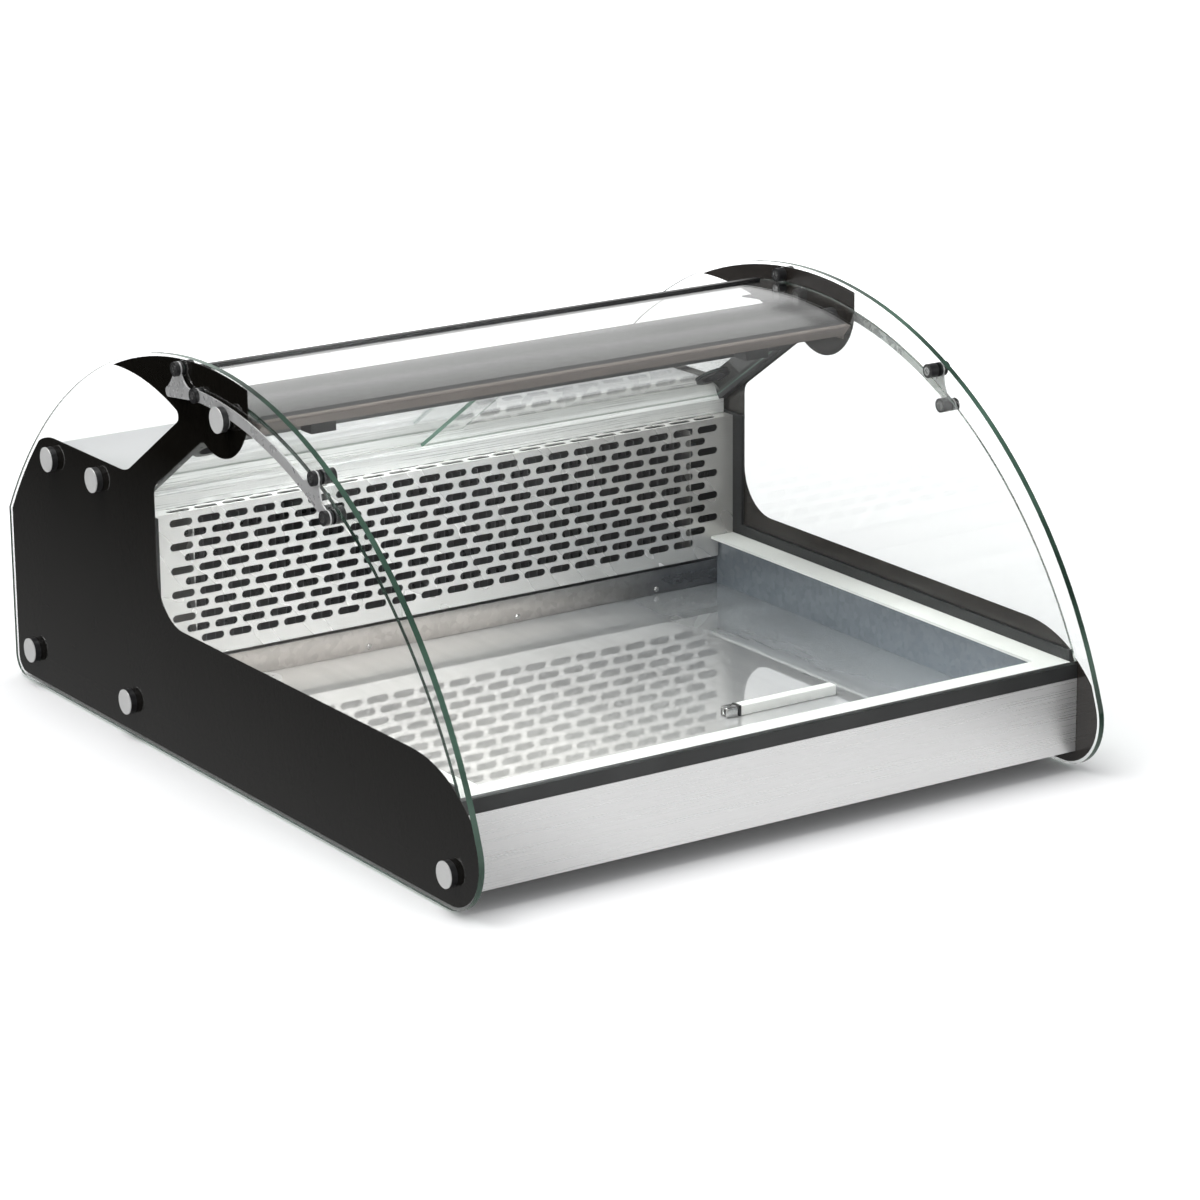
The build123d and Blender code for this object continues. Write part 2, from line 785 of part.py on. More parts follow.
# Evaporator: fins, serpentine tube and the two brackets that hold it to the back wall
evaporator_y = cover_y + sheet_t + evaporator_gap
bend_reach = evaporator_row_pitch / 2 + bracket_flange
save(fin_stack(0, evaporator_half - bracket_t, evaporator_fin_pitch, evaporator_y, evaporator_depth,
               evaporator_bottom, evaporator_rows, evaporator_row_pitch), "evaporator_fins")
save(serpentine(-evaporator_half - bend_reach, evaporator_half + bend_reach,
                evaporator_y + evaporator_depth / 2, evaporator_bottom, evaporator_rows,
                evaporator_row_pitch), "evaporator_tubes")

with BuildPart() as evaporator_brackets:
    for sign in (-1, 1):
        with BuildSketch(side_plane(sign * evaporator_half)):
            add(box_face((evaporator_y, evaporator_bottom),
                         (well_back - fit_gap, evaporator_bottom + evaporator_rows * evaporator_row_pitch)))
            with Locations(*[(evaporator_y + evaporator_depth / 2,
                              evaporator_bottom + (row + 0.5) * evaporator_row_pitch)
                             for row in range(evaporator_rows)]):
                Circle(tube_r + tube_play, mode=Mode.SUBTRACT)
        extrude(amount=sign * bracket_t)
        with BuildSketch(front_plane(well_back - fit_gap)):
            inner = min(sign * evaporator_half, sign * (evaporator_half - bracket_flange))
            add(box_face((inner, evaporator_bottom + evaporator_row_pitch),
                         (inner + bracket_flange, evaporator_bottom + 3 * evaporator_row_pitch)))
        extrude(amount=bracket_t)
save(evaporator_brackets.part, "evaporator_brackets")


def fan_frame(x, low_y, z, size, depth):
    """Square fan frame with a round duct, and four spokes that carry the motor hub."""
    bore = size / 2 - fan_wall
    hub = size / 6
    with BuildPart() as frame:
        with BuildSketch(front_plane(low_y)):
            with Locations((x, z)):
                RectangleRounded(size, size, fan_wall)
                Circle(bore, mode=Mode.SUBTRACT)
        extrude(amount=-depth)
        with BuildSketch(front_plane(low_y)):
            with Locations((x, z)):
                Rectangle(2 * bore + fan_wall, fan_wall)
                Rectangle(fan_wall, 2 * bore + fan_wall)
                Circle(hub)
                Circle(shaft_r + shaft_play, mode=Mode.SUBTRACT)
        extrude(amount=-depth / 4)
    return frame.part


def fan_rotor(x, low_y, z, size, depth, blades):
    """Fan rotor: a hub, its shaft and a ring of pitched blades."""
    tip = size / 2 - fan_wall - fan_tip_gap
    hub = size / 6
    start = low_y + depth / 4 + slide_gap
    length = depth * 0.62
    with BuildPart() as rotor:
        with BuildSketch(front_plane(start)):
            with Locations((x, z)):
                Circle(hub)
        extrude(amount=-length)
        with BuildSketch(front_plane(low_y)):
            with Locations((x, z)):
                Circle(shaft_r)
        extrude(amount=-(start - low_y))
        for blade in range(blades):
            turn = Location((x, front_y + start + length / 2, z), (0, 360 * blade / blades, 0))
            lean = Location((0, 0, (hub + tip) / 2 - fan_wall / 2), (0, 0, 38))
            add(turn * lean * Box(length * 1.05, fan_wall / 2, tip - hub + fan_wall, mode=Mode.PRIVATE))
    return rotor.part


# Evaporator fans against the back wall
fan_y = well_back - fit_gap - evaporator_fan_depth
fan_z = evaporator_bottom + evaporator_rows * evaporator_row_pitch / 2
with BuildPart() as evaporator_fan_frames:
    for sign in (-1, 1):
        add(fan_frame(sign * evaporator_fan_x, fan_y, fan_z, evaporator_fan_size, evaporator_fan_depth))
save(evaporator_fan_frames.part, "evaporator_fan_frames")
for side, sign in (("left", -1), ("right", 1)):
    save(fan_rotor(sign * evaporator_fan_x, fan_y, fan_z, evaporator_fan_size, evaporator_fan_depth, 7),
         f"evaporator_fan_{side}")

# Rear housing: folded top panel and vented back panel
with BuildPart() as rear_top_panel:
    with BuildSketch(side_plane(-liner_out)):
        add(folded_sheet(
            [(flange_y, cover_top - slot_edge_margin), (flange_y, rear_top),
             (cabinet_depth - rear_break_y, rear_top), (cabinet_depth - rear_slope_y, rear_slope_z),
             (back_y, rear_corner_z)], sheet_t, Side.RIGHT))
    extrude(amount=2 * liner_out)
    with BuildSketch(front_plane(flange_y)):
        for sign in (-1, 1):
            edge = min(sign * body_half, sign * liner_out)
            add(box_face((edge - fit_gap, cover_top - 2 * slot_edge_margin),
                         (edge + liner_out - body_half + fit_gap, rear_top)))
    extrude(amount=-2 * sheet_t, mode=Mode.SUBTRACT)
save(rear_top_panel.part, "rear_top_panel")

switch_places = [(controller_x - switch_pitch / 2, switch_z), (controller_x + switch_pitch / 2, switch_z)]
switch_half_width = rocker_width / 2 + fit_gap + switch_wall
switch_half_height = rocker_half + 2 * switch_wall
with BuildPart() as rear_back_panel:
    with BuildSketch(front_plane(back_y - sheet_t)):
        add(box_face((-liner_out, pan_top + fit_gap), (liner_out, rear_corner_z - sheet_t - fit_gap)))
        with Locations((controller_x, controller_z)):
            Rectangle(controller_width - 2 * bezel_overlap, controller_height - 2 * bezel_overlap,
                      mode=Mode.SUBTRACT)
        with Locations(*switch_places):
            Rectangle(2 * (switch_half_width + fit_gap), 2 * (switch_half_height + fit_gap),
                      mode=Mode.SUBTRACT)
        with Locations((inlet_x, inlet_z)):
            Rectangle(inlet_width - 2 * bezel_overlap, inlet_height - 2 * bezel_overlap, mode=Mode.SUBTRACT)
        with Locations((condenser_x, condenser_bottom + condenser_rows * condenser_row_pitch / 2)):
            with GridLocations(vent_pitch_x, vent_pitch_z, 6, 9):
                SlotOverall(vent_length, vent_width, mode=Mode.SUBTRACT)
        with Locations((compressor_x, condenser_bottom + condenser_rows * condenser_row_pitch / 2)):
            with GridLocations(vent_pitch_x, vent_pitch_z, 3, 9):
                SlotOverall(vent_length, vent_width, mode=Mode.SUBTRACT)
    extrude(amount=-sheet_t)
save(rear_back_panel.part, "rear_back_panel")

# Hermetic compressor on rubber mounts
compressor_y = back_y - compressor_back
mount_top = pan_top + fit_gap + mount_height
shell_low = mount_top + foot_plate_t
with BuildPart() as compressor_mounts:
    with BuildSketch(plan_plane(pan_top)):
        with Locations((compressor_x, compressor_y)):
            with GridLocations(mount_pitch_x, mount_pitch_y, 2, 2):
                Circle(mount_radius)
    extrude(amount=mount_height)
save(compressor_mounts.part, "compressor_mounts")

with BuildPart() as compressor:
    with BuildSketch(plan_plane(mount_top)):
        with Locations((compressor_x, compressor_y)):
            RectangleRounded(mount_pitch_x + 2 * mount_radius, mount_pitch_y + 2 * mount_radius, mount_radius)
    extrude(amount=foot_plate_t)
    with BuildSketch(plan_plane(shell_low)):
        with Locations((compressor_x, compressor_y)):
            Circle(compressor_radius)
    shell = extrude(amount=compressor_height)
    fillet(shell.edges().filter_by(GeomType.CIRCLE).group_by(Axis.Z)[-1], compressor_fillet)
    with BuildSketch(plan_plane(shell_low + compressor_height * 0.48)):
        with Locations((compressor_x, compressor_y)):
            Circle(compressor_radius + 2 * sheet_t)
    extrude(amount=2 * sheet_t)
    with BuildSketch(front_plane(compressor_y - compressor_radius * 0.8)):
        with Locations((compressor_x, shell_low + compressor_height * 0.26)):
            RectangleRounded(compressor_radius * 0.7, compressor_radius * 0.6, fan_wall)
    extrude(amount=compressor_radius * 0.4)
save(compressor.part, "compressor")

# Condenser: fins and serpentine tube behind the vents, with the fan in front of them
condenser_y = back_y - condenser_back - condenser_depth
condenser_z = condenser_bottom + condenser_rows * condenser_row_pitch / 2
save(fin_stack(condenser_x, condenser_half - bracket_t, condenser_fin_pitch, condenser_y, condenser_depth,
               condenser_bottom, condenser_rows, condenser_row_pitch), "condenser_fins")
condenser_reach = condenser_half + condenser_row_pitch / 2 + fan_wall
save(serpentine(condenser_x - condenser_reach, condenser_x + condenser_reach,
                condenser_y + condenser_depth / 2, condenser_bottom, condenser_rows, condenser_row_pitch),
     "condenser_tubes")

shroud_back = condenser_y - fit_gap
shroud_y = shroud_back - condenser_fan_depth
with BuildPart() as condenser_shroud:
    add(fan_frame(condenser_x, shroud_y, condenser_z, condenser_fan_size, condenser_fan_depth))
    with BuildSketch(front_plane(shroud_back)):
        with Locations((condenser_x, (pan_top + fit_gap + condenser_z + condenser_fan_size / 2) / 2)):
            Rectangle(2 * condenser_half, condenser_z + condenser_fan_size / 2 - pan_top - fit_gap)
        with Locations((condenser_x, condenser_z)):
            Circle(condenser_fan_size / 2 - fan_wall, mode=Mode.SUBTRACT)
    extrude(amount=sheet_t)
    for sign in (-1, 1):
        with BuildSketch(side_plane(condenser_x + sign * condenser_half)):
            add(box_face((shroud_back - sheet_t, pan_top + fit_gap),
                         (condenser_y + condenser_depth, condenser_z + condenser_fan_size / 2)))
            with Locations(*[(condenser_y + condenser_depth / 2, condenser_bottom + (row + 0.5) * condenser_row_pitch)
                             for row in range(condenser_rows)]):
                Circle(tube_r + tube_play, mode=Mode.SUBTRACT)
        extrude(amount=-sign * bracket_t)
save(condenser_shroud.part, "condenser_shroud")
save(fan_rotor(condenser_x, shroud_y, condenser_z, condenser_fan_size, condenser_fan_depth, 5), "condenser_fan")

# Copper lines: discharge to the condenser, and two through the bulkhead to the evaporator
shell_top = shell_low + compressor_height
line_front = front_y + evaporator_y + evaporator_depth + slot_edge_margin
bulkhead_back = front_y + housing_y + line_bend * 1.5
tube_out_x = condenser_x - condenser_half + 20.0
pieces = [
    swept_tube([
        (compressor_x, front_y + compressor_y, shell_top + slide_gap),
        (compressor_x, front_y + compressor_y, shell_top + 30.0),
        (tube_out_x, front_y + compressor_y, shell_top + 30.0),
        (tube_out_x, front_y + compressor_y, condenser_z + condenser_fan_size / 2 + 12.0),
        (tube_out_x, front_y + shroud_back - sheet_t - line_r - fit_gap, condenser_z + condenser_fan_size / 2 + 12.0),
    ], 12.0, line_r),
    swept_tube([
        (line_high[0], line_front, line_high[1]),
        (line_high[0], bulkhead_back, line_high[1]),
        (compressor_x + 30.0, bulkhead_back, line_high[1]),
        (compressor_x + 30.0, front_y + compressor_y, line_high[1]),
        (compressor_x + 30.0, front_y + compressor_y, shell_top + slide_gap),
    ], line_bend, line_r),
    swept_tube([
        (line_low[0], line_front, line_low[1]),
        (line_low[0], bulkhead_back, line_low[1]),
        (line_low[0], bulkhead_back, pan_top + 12.0),
        (condenser_x, bulkhead_back, pan_top + 12.0),
    ], line_bend, line_r),
]
with BuildPart() as refrigerant_lines:
    for piece in pieces:
        add(piece)
save(refrigerant_lines.part, "refrigerant_lines")

# Door tracks: the lower one stands on the cover, the upper one crosses under the canopy
pane_places = (("left", rear_pane_w, -1), ("right", front_pane_w, 1))
foot_low = cover_top + fit_gap
with BuildPart() as door_track_bottom:
    with BuildSketch(side_plane(-body_half)):
        add(polygon(
            (door_point(groove_depth, -band_half)[0], foot_low), door_point(groove_depth, -band_half),
            door_point(groove_depth, band_half), (cover_back, door_point(0, band_half)[1]),
            (cover_back, foot_low)))
        for _, across, _ in pane_places:
            half = pane_t / 2 + pane_play
            add(polygon(door_point(0, across - half), door_point(track_height, across - half),
                        door_point(track_height, across + half), door_point(0, across + half)),
                mode=Mode.SUBTRACT)
    extrude(amount=2 * body_half)
save(door_track_bottom.part, "door_track_bottom")

with BuildPart() as door_track_top:
    with BuildSketch(side_plane(-body_half)):
        add(polygon(
            door_point(door_length, -band_half), door_point(door_length + track_height, -band_half),
            door_point(door_length + track_height, band_half), door_point(door_length, band_half)))
        for _, across, _ in pane_places:
            half = pane_t / 2 + pane_play
            end = door_length + top_groove_depth
            add(polygon(door_point(0, across - half), door_point(end, across - half),
                        door_point(end, across + half), door_point(0, across + half)),
                mode=Mode.SUBTRACT)
    extrude(amount=2 * body_half)
save(door_track_top.part, "door_track_top")

with BuildPart() as door_jambs:
    for sign in (-1, 1):
        with BuildSketch(side_plane(sign * body_half)):
            low = groove_depth + fit_gap
            high = door_length - fit_gap
            add(polygon(door_point(low, -band_half), door_point(high, -band_half),
                        door_point(high, band_half), door_point(low, band_half)))
        extrude(amount=-sign * jamb_width)
save(door_jambs.part, "door_jambs")

# Sliding glass doors with round finger pulls
door_edge = body_half - jamb_width - fit_gap
pane_high = door_length + top_groove_depth / 2
pull_along = groove_depth + (door_length - groove_depth) / 2
for side, across, sign in pane_places:
    pull_x = sign * (door_edge - pull_inset_x)
    pull_point = door_point(pull_along, across)
    pull_plane = Plane(origin=(pull_x, front_y + pull_point[0], pull_point[1]), x_dir=(1, 0, 0),
                       z_dir=(0, sin(door_lean), cos(door_lean)))
    start_x = min(-sign * pane_overlap, sign * door_edge)
    with BuildPart() as rear_door:
        with BuildSketch(side_plane(start_x)):
            add(polygon(door_point(slide_gap, across - pane_t / 2), door_point(pane_high, across - pane_t / 2),
                        door_point(pane_high, across + pane_t / 2), door_point(slide_gap, across + pane_t / 2)))
        extrude(amount=door_edge + pane_overlap)
        with BuildSketch(pull_plane.offset(-pane_t)):
            Circle(pull_hole_r)
        extrude(amount=2 * pane_t, mode=Mode.SUBTRACT)
    save(rear_door.part, f"rear_door_{side}")

    with BuildPart() as door_pull:
        face_gap = slide_gap / 3
        with BuildSketch(pull_plane.offset(-pane_t / 2 - face_gap - pull_flange_t)):
            Circle(pull_hole_r - slide_gap)
            Circle(pull_bore_r, mode=Mode.SUBTRACT)
        extrude(amount=pane_t + 2 * face_gap + 2 * pull_flange_t)
        for level in (-pane_t / 2 - face_gap - pull_flange_t, pane_t / 2 + face_gap):
            with BuildSketch(pull_plane.offset(level)):
                Circle(pull_flange_r)
                Circle(pull_bore_r, mode=Mode.SUBTRACT)
            extrude(amount=pull_flange_t)
    save(door_pull.part, f"door_pull_{side}")

# Curved front glass that slides up and back in its guides, and the rail along its top edge
front_glass_half = glass_in - front_glass_side_play
with BuildPart() as front_glass:
    with BuildSketch(side_plane(-front_glass_half)):
        add(arc_band(front_glass_inner_r, front_glass_r, glass_foot_angle, front_glass_top_angle))
    extrude(amount=2 * front_glass_half)
save(front_glass.part, "front_glass")

rail_half = glass_in - sleeve_length - front_glass_side_play
degrees_per_mm = 180 / (pi * front_glass_r)
rail_start = front_glass_top_angle - rail_bite * degrees_per_mm
with BuildPart() as top_rail:
    with BuildSketch(side_plane(-rail_half)):
        add(arc_band(rail_inner_r, rail_inner_r + rail_height, rail_start, rail_start + rail_width * degrees_per_mm))
        add(arc_band(front_glass_inner_r, front_glass_r, rail_start - 1, front_glass_top_angle),
            mode=Mode.SUBTRACT)
    extrude(amount=2 * rail_half)
save(top_rail.part, "top_rail")

# Canopy hood: one bent sheet with a front lip, rear ears and two end plates
lip_top = on_arc(hood_r, hood_front_angle)
lip_turn = radians(hood_lip_angle)
lip_low = (lip_top[0] + hood_lip * cos(lip_turn), lip_top[1] - hood_lip * sin(lip_turn))
hood_inner_r = hood_r - hood_t
end_plate_bottom = lip_low[1] - end_plate_drop
with BuildPart() as canopy_hood:
    with BuildSketch(side_plane(-hood_half)):
        add(arc_band(hood_inner_r, hood_r, hood_front_angle, hood_rear_angle))
        add(folded_sheet([lip_top, lip_low], hood_t, Side.LEFT))
    extrude(amount=2 * hood_half)
    for sign in (-1, 1):
        with BuildSketch(side_plane(sign * hood_half)):
            add(arc_band(hood_inner_r, hood_r, hood_rear_angle - 1, hood_ear_angle))
        extrude(amount=-sign * hood_ear_width)
        with BuildSketch(side_plane(sign * hood_half)):
            with BuildLine():
                plate_mid = on_arc(hood_r, (hood_front_angle + hood_rear_angle) / 2)
                plate_end = on_arc(hood_r, hood_rear_angle)
                ThreePointArc(lip_top, plate_mid, plate_end)
                Polyline(plate_end, (plate_end[0] + end_plate_rake, end_plate_bottom),
                         (lip_low[0], end_plate_bottom), lip_low, lip_top)
            make_face()
            with Locations(canopy_knob):
                Circle(stud_r + stud_play, mode=Mode.SUBTRACT)
        extrude(amount=-sign * hood_t)
save(canopy_hood.part, "canopy_hood")

# Lamp under the hood
lamp_centre = on_arc(hood_inner_r - lamp_drop, lamp_angle)
holder_top = on_arc(hood_inner_r, lamp_angle - 1.5)[1] - fit_gap
with BuildPart() as led_tube:
    with BuildSketch(side_plane(-lamp_half)):
        with Locations(lamp_centre):
            Circle(lamp_radius)
    extrude(amount=2 * lamp_half)
save(led_tube.part, "led_tube")

with BuildPart() as led_holders:
    for sign in (-1, 1):
        with BuildSketch(side_plane(sign * (lamp_half + fit_gap))):
            add(box_face((lamp_centre[0] - holder_width / 2, lamp_centre[1] - holder_drop),
                         (lamp_centre[0] + holder_width / 2, holder_top)))
        extrude(amount=sign * holder_length)
save(led_holders.part, "led_holders")


def arm_face():
    """Steel arm: a bent strip with a three-pointed head at the crown and a lug at its foot."""
    upper, crown, lower, foot = through_fittings
    tip = on_arc(outer_pin_r - star_tip_drop, upper_pin_angle + star_tip_lead)
    left_neck = (upper[0] - star_waist, upper[1] - screw_r)
    right_neck = (upper[0] + star_waist, upper[1] - screw_r)
    shoulder = (crown[0] + star_waist, crown[1] + screw_r)
    left_hollow = ((left_neck[0] + shoulder[0]) / 2 + screw_r, (left_neck[1] + shoulder[1]) / 2 - screw_r)
    tip_back = (tip[0] + screw_r, tip[1] + screw_r)
    right_hollow = (upper[0] + star_hollow, upper[1] - star_hollow)
    lug_right = on_arc(inner_pin_r, lower_pin_angle + lug_foot_lead)
    lug_left = on_arc(inner_pin_r, foot_pin_angle)
    with BuildSketch() as face:
        add(arc_band(inner_pin_r - arm_half_width, inner_pin_r + arm_half_width, foot_pin_angle, crown_pin_angle))
        with BuildLine():
            ThreePointArc(left_neck, left_hollow, shoulder)
            Polyline(shoulder, (crown[0], crown[1] - arm_half_width), (tip[0], tip[1] - star_tip_r), tip_back)
            ThreePointArc(tip_back, right_hollow, right_neck)
            Line(right_neck, left_neck)
        make_face()
        with BuildLine():
            left_lug_neck = (lower[0] - lug_waist, lower[1])
            right_lug_neck = (lower[0] + lug_waist, lower[1])
            right_middle = ((right_lug_neck[0] + lug_right[0]) / 2, (right_lug_neck[1] + lug_right[1]) / 2)
            left_middle = ((left_lug_neck[0] + lug_left[0]) / 2, (left_lug_neck[1] + lug_left[1]) / 2)
            ThreePointArc(right_lug_neck, (right_middle[0] - lug_hollow, right_middle[1] - lug_hollow), lug_right)
            Line(lug_right, lug_left)
            ThreePointArc(lug_left, (left_middle[0] + lug_hollow, left_middle[1] - lug_hollow), left_lug_neck)
            Line(left_lug_neck, right_lug_neck)
        make_face()
        with Locations(upper, crown, lower, foot):
            Circle(sleeve_r)
        with Locations(tip):
            Circle(star_tip_r)
        with Locations(canopy_knob):
            Circle(knob_r - arm_t)
        with Locations(upper, crown, lower, foot):
            Circle(screw_r + screw_play, mode=Mode.SUBTRACT)
        with Locations(canopy_knob):
            Circle(stud_r + stud_play, mode=Mode.SUBTRACT)
    return face.sketch


# Steel arms outside the glass, one per side
arm_out = half_width + washer_t
for side, sign in (("left", -1), ("right", 1)):
    with BuildPart() as arm_plate:
        with BuildSketch(side_plane(sign * arm_out)):
            add(arm_face())
        extrude(amount=sign * arm_t)
    save(arm_plate.part, f"arm_plate_{side}")

# Guide fittings: caps outside, sleeves inside, washers under the arm, and screws through them
cap_start = arm_out + arm_t
with BuildPart() as fitting_caps:
    for sign in (-1, 1):
        with BuildSketch(side_plane(sign * cap_start)):
            with Locations(*through_fittings):
                Circle(sleeve_r)
                Circle(screw_r + screw_play, mode=Mode.SUBTRACT)
        extrude(amount=sign * cap_length)
save(fitting_caps.part, "fitting_caps")

with BuildPart() as guide_sleeves:
    for sign in (-1, 1):
        with BuildSketch(side_plane(sign * glass_in)):
            with Locations(*fitting_places):
                Circle(sleeve_r)
                Circle(screw_r + screw_play, mode=Mode.SUBTRACT)
        extrude(amount=-sign * sleeve_length)
        with BuildSketch(side_plane(sign * mask_in)):
            with Locations(canopy_knob):
                Circle(spacer_radius)
                Circle(stud_r + stud_play, mode=Mode.SUBTRACT)
        extrude(amount=-sign * (mask_in - hood_half - fit_gap))
        with BuildSketch(side_plane(sign * half_width)):
            with Locations(*through_fittings):
                Circle(sleeve_r)
                Circle(screw_r + screw_play, mode=Mode.SUBTRACT)
            with Locations(canopy_knob):
                Circle(spacer_radius)
                Circle(stud_r + stud_play, mode=Mode.SUBTRACT)
        extrude(amount=sign * washer_t)
save(guide_sleeves.part, "guide_sleeves")

with BuildPart() as guide_screws:
    for sign in (-1, 1):
        inside = glass_in - sleeve_length
        outside = cap_start + cap_length
        spans = [(place, inside, outside) for place in through_fittings]
        spans.append((inner_fitting, inside, half_width))
        for place, near, far in spans:
            with BuildSketch(side_plane(sign * near)):
                with Locations(place):
                    Circle(screw_r)
            extrude(amount=sign * (far - near))
            with BuildSketch(side_plane(sign * near)):
                with Locations(place):
                    Circle(screw_head_r)
                    RegularPolygon(hex_socket / 2, 6, major_radius=False, mode=Mode.SUBTRACT)
            extrude(amount=-sign * screw_head_t)
        with BuildSketch(side_plane(sign * outside)):
            with Locations(*through_fittings):
                Circle(screw_head_r)
                RegularPolygon(hex_socket / 2, 6, major_radius=False, mode=Mode.SUBTRACT)
        extrude(amount=sign * screw_head_t)
        with BuildSketch(side_plane(sign * half_width)):
            with Locations(inner_fitting):
                Circle(screw_head_r)
        extrude(amount=sign * screw_head_t)
save(guide_screws.part, "guide_screws")

# Standoff knobs: black bodies with studs, and bright faces
with BuildPart() as knob_bodies:
    for sign in (-1, 1):
        with BuildSketch(side_plane(sign * half_width)):
            with Locations(*knob_places):
                Circle(knob_r - knob_rim)
        extrude(amount=sign * knob_length)
        with BuildSketch(side_plane(sign * liner_in)):
            with Locations(*knob_places):
                Circle(stud_r)
        extrude(amount=sign * (half_width - liner_in))
        with BuildSketch(side_plane(sign * cap_start)):
            with Locations(canopy_knob):
                Circle(knob_r - knob_rim)
        extrude(amount=sign * knob_length)
        with BuildSketch(side_plane(sign * (hood_half - hood_t))):
            with Locations(canopy_knob):
                Circle(stud_r)
        extrude(amount=sign * (cap_start - hood_half + hood_t))
save(knob_bodies.part, "knob_bodies")

with BuildPart() as knob_faces:
    for sign in (-1, 1):
        with BuildSketch(side_plane(sign * (half_width + knob_length))):
            with Locations(*knob_places):
                Circle(knob_r)
        extrude(amount=sign * knob_face_t)
        with BuildSketch(side_plane(sign * (cap_start + knob_length))):
            with Locations(canopy_knob):
                Circle(knob_r)
        extrude(amount=sign * knob_face_t)
save(knob_faces.part, "knob_faces")

# Controller in the back panel, with a display window and three buttons
button_places = [(controller_x + button_start_x + index * button_pitch, controller_z) for index in range(3)]
window_place = (controller_x + window_offset_x, controller_z)
face_y = back_y + bezel_t
with BuildPart() as controller:
    with BuildSketch(front_plane(back_y)):
        with Locations((controller_x, controller_z)):
            RectangleRounded(controller_width, controller_height, bezel_t)
    extrude(amount=-bezel_t)
    with BuildSketch(front_plane(back_y)):
        with Locations((controller_x, controller_z)):
            Rectangle(controller_width - 2 * bezel_overlap - 2 * fit_gap,
                      controller_height - 2 * bezel_overlap - 2 * fit_gap)
    extrude(amount=controller_depth)
    with BuildSketch(front_plane(face_y)):
        with Locations(*button_places):
            Rectangle(button_width, button_height)
    extrude(amount=button_pocket, mode=Mode.SUBTRACT)
    with BuildSketch(front_plane(face_y)):
        with Locations(window_place):
            Rectangle(window_width, window_height)
    extrude(amount=window_t, mode=Mode.SUBTRACT)
save(controller.part, "controller")

with BuildPart() as controller_window:
    with BuildSketch(front_plane(face_y - window_t)):
        with Locations(window_place):
            Rectangle(window_width - 2 * slide_gap, window_height - 2 * slide_gap)
    extrude(amount=-window_t)
save(controller_window.part, "controller_window")

for name, place in zip(("set", "down", "up"), button_places):
    with BuildPart() as button:
        with BuildSketch(front_plane(face_y + button_proud)):
            with Locations(place):
                RectangleRounded(button_width - 2 * fit_gap, button_height - 2 * fit_gap, button_proud)
        extrude(amount=button_depth + button_proud)
    save(button.part, f"controller_button_{name}")

# Two rocker switches: a housing each, and a rocker that turns on short axles
pivot_y = back_y + fit_gap
axle_reach = rocker_width / 2 + rocker_axle_length + fit_gap
housing_depth = rocker_depth + rocker_crown + 3 * switch_wall
with BuildPart() as switch_housings:
    with BuildSketch(front_plane(back_y)):
        with Locations(*switch_places):
            Rectangle(2 * switch_half_width + switch_bezel, 2 * switch_half_height + switch_bezel)
    extrude(amount=-switch_wall)
    with BuildSketch(front_plane(back_y)):
        with Locations(*switch_places):
            Rectangle(2 * switch_half_width, 2 * switch_half_height)
    extrude(amount=housing_depth)
    with BuildSketch(front_plane(back_y + switch_wall)):
        with Locations(*switch_places):
            Rectangle(rocker_width + 2 * fit_gap, 2 * (switch_half_height - switch_wall))
    extrude(amount=housing_depth, mode=Mode.SUBTRACT)
    for place in switch_places:
        with BuildSketch(side_plane(place[0] - axle_reach)):
            with Locations((pivot_y, place[1])):
                Circle(rocker_axle_r + rocker_axle_play)
        extrude(amount=2 * axle_reach, mode=Mode.SUBTRACT)
save(switch_housings.part, "switch_housings")

tilt = radians(rocker_tilt)
crown = rocker_crown + switch_wall
shoulder = crown - rocker_crown / 2
for name, place in zip(("power", "lamp"), switch_places):
    rocker_plane = Plane(origin=(place[0], front_y + pivot_y, place[1]), x_dir=(0, cos(tilt), -sin(tilt)),
                         z_dir=(1, 0, 0))
    with BuildPart() as rocker:
        with BuildSketch(rocker_plane.offset(-rocker_width / 2)):
            add(polygon((-rocker_depth, -rocker_half), (shoulder, -rocker_half), (crown, 0),
                        (shoulder, rocker_half), (-rocker_depth, rocker_half)))
        extrude(amount=rocker_width)
        with BuildSketch(rocker_plane.offset(-rocker_width / 2 - rocker_axle_length)):
            Circle(rocker_axle_r)
        extrude(amount=rocker_width + 2 * rocker_axle_length)
    save(rocker.part, f"{name}_switch_rocker")

# Power inlet socket
with BuildPart() as power_inlet:
    with BuildSketch(front_plane(back_y)):
        with Locations((inlet_x, inlet_z)):
            RectangleRounded(inlet_width, inlet_height, bezel_t)
    extrude(amount=-bezel_t)
    with BuildSketch(front_plane(back_y)):
        with Locations((inlet_x, inlet_z)):
            Rectangle(inlet_width - 2 * bezel_overlap - 2 * fit_gap, inlet_height - 2 * bezel_overlap - 2 * fit_gap)
    extrude(amount=inlet_depth)
    with BuildSketch(front_plane(face_y)):
        with Locations((inlet_x, inlet_z)):
            Rectangle(inlet_socket_width, inlet_socket_height)
    extrude(amount=inlet_socket_depth, mode=Mode.SUBTRACT)
    with BuildSketch(front_plane(face_y - inlet_pin_set_back)):
        with Locations((inlet_x, inlet_z)):
            with Locations((-inlet_pin_pitch, -inlet_pin_width), (0, inlet_pin_width),
                           (inlet_pin_pitch, -inlet_pin_width)):
                Rectangle(inlet_pin_width, inlet_pin_height)
    extrude(amount=inlet_socket_depth - inlet_pin_set_back)
save(power_inlet.part, "power_inlet")

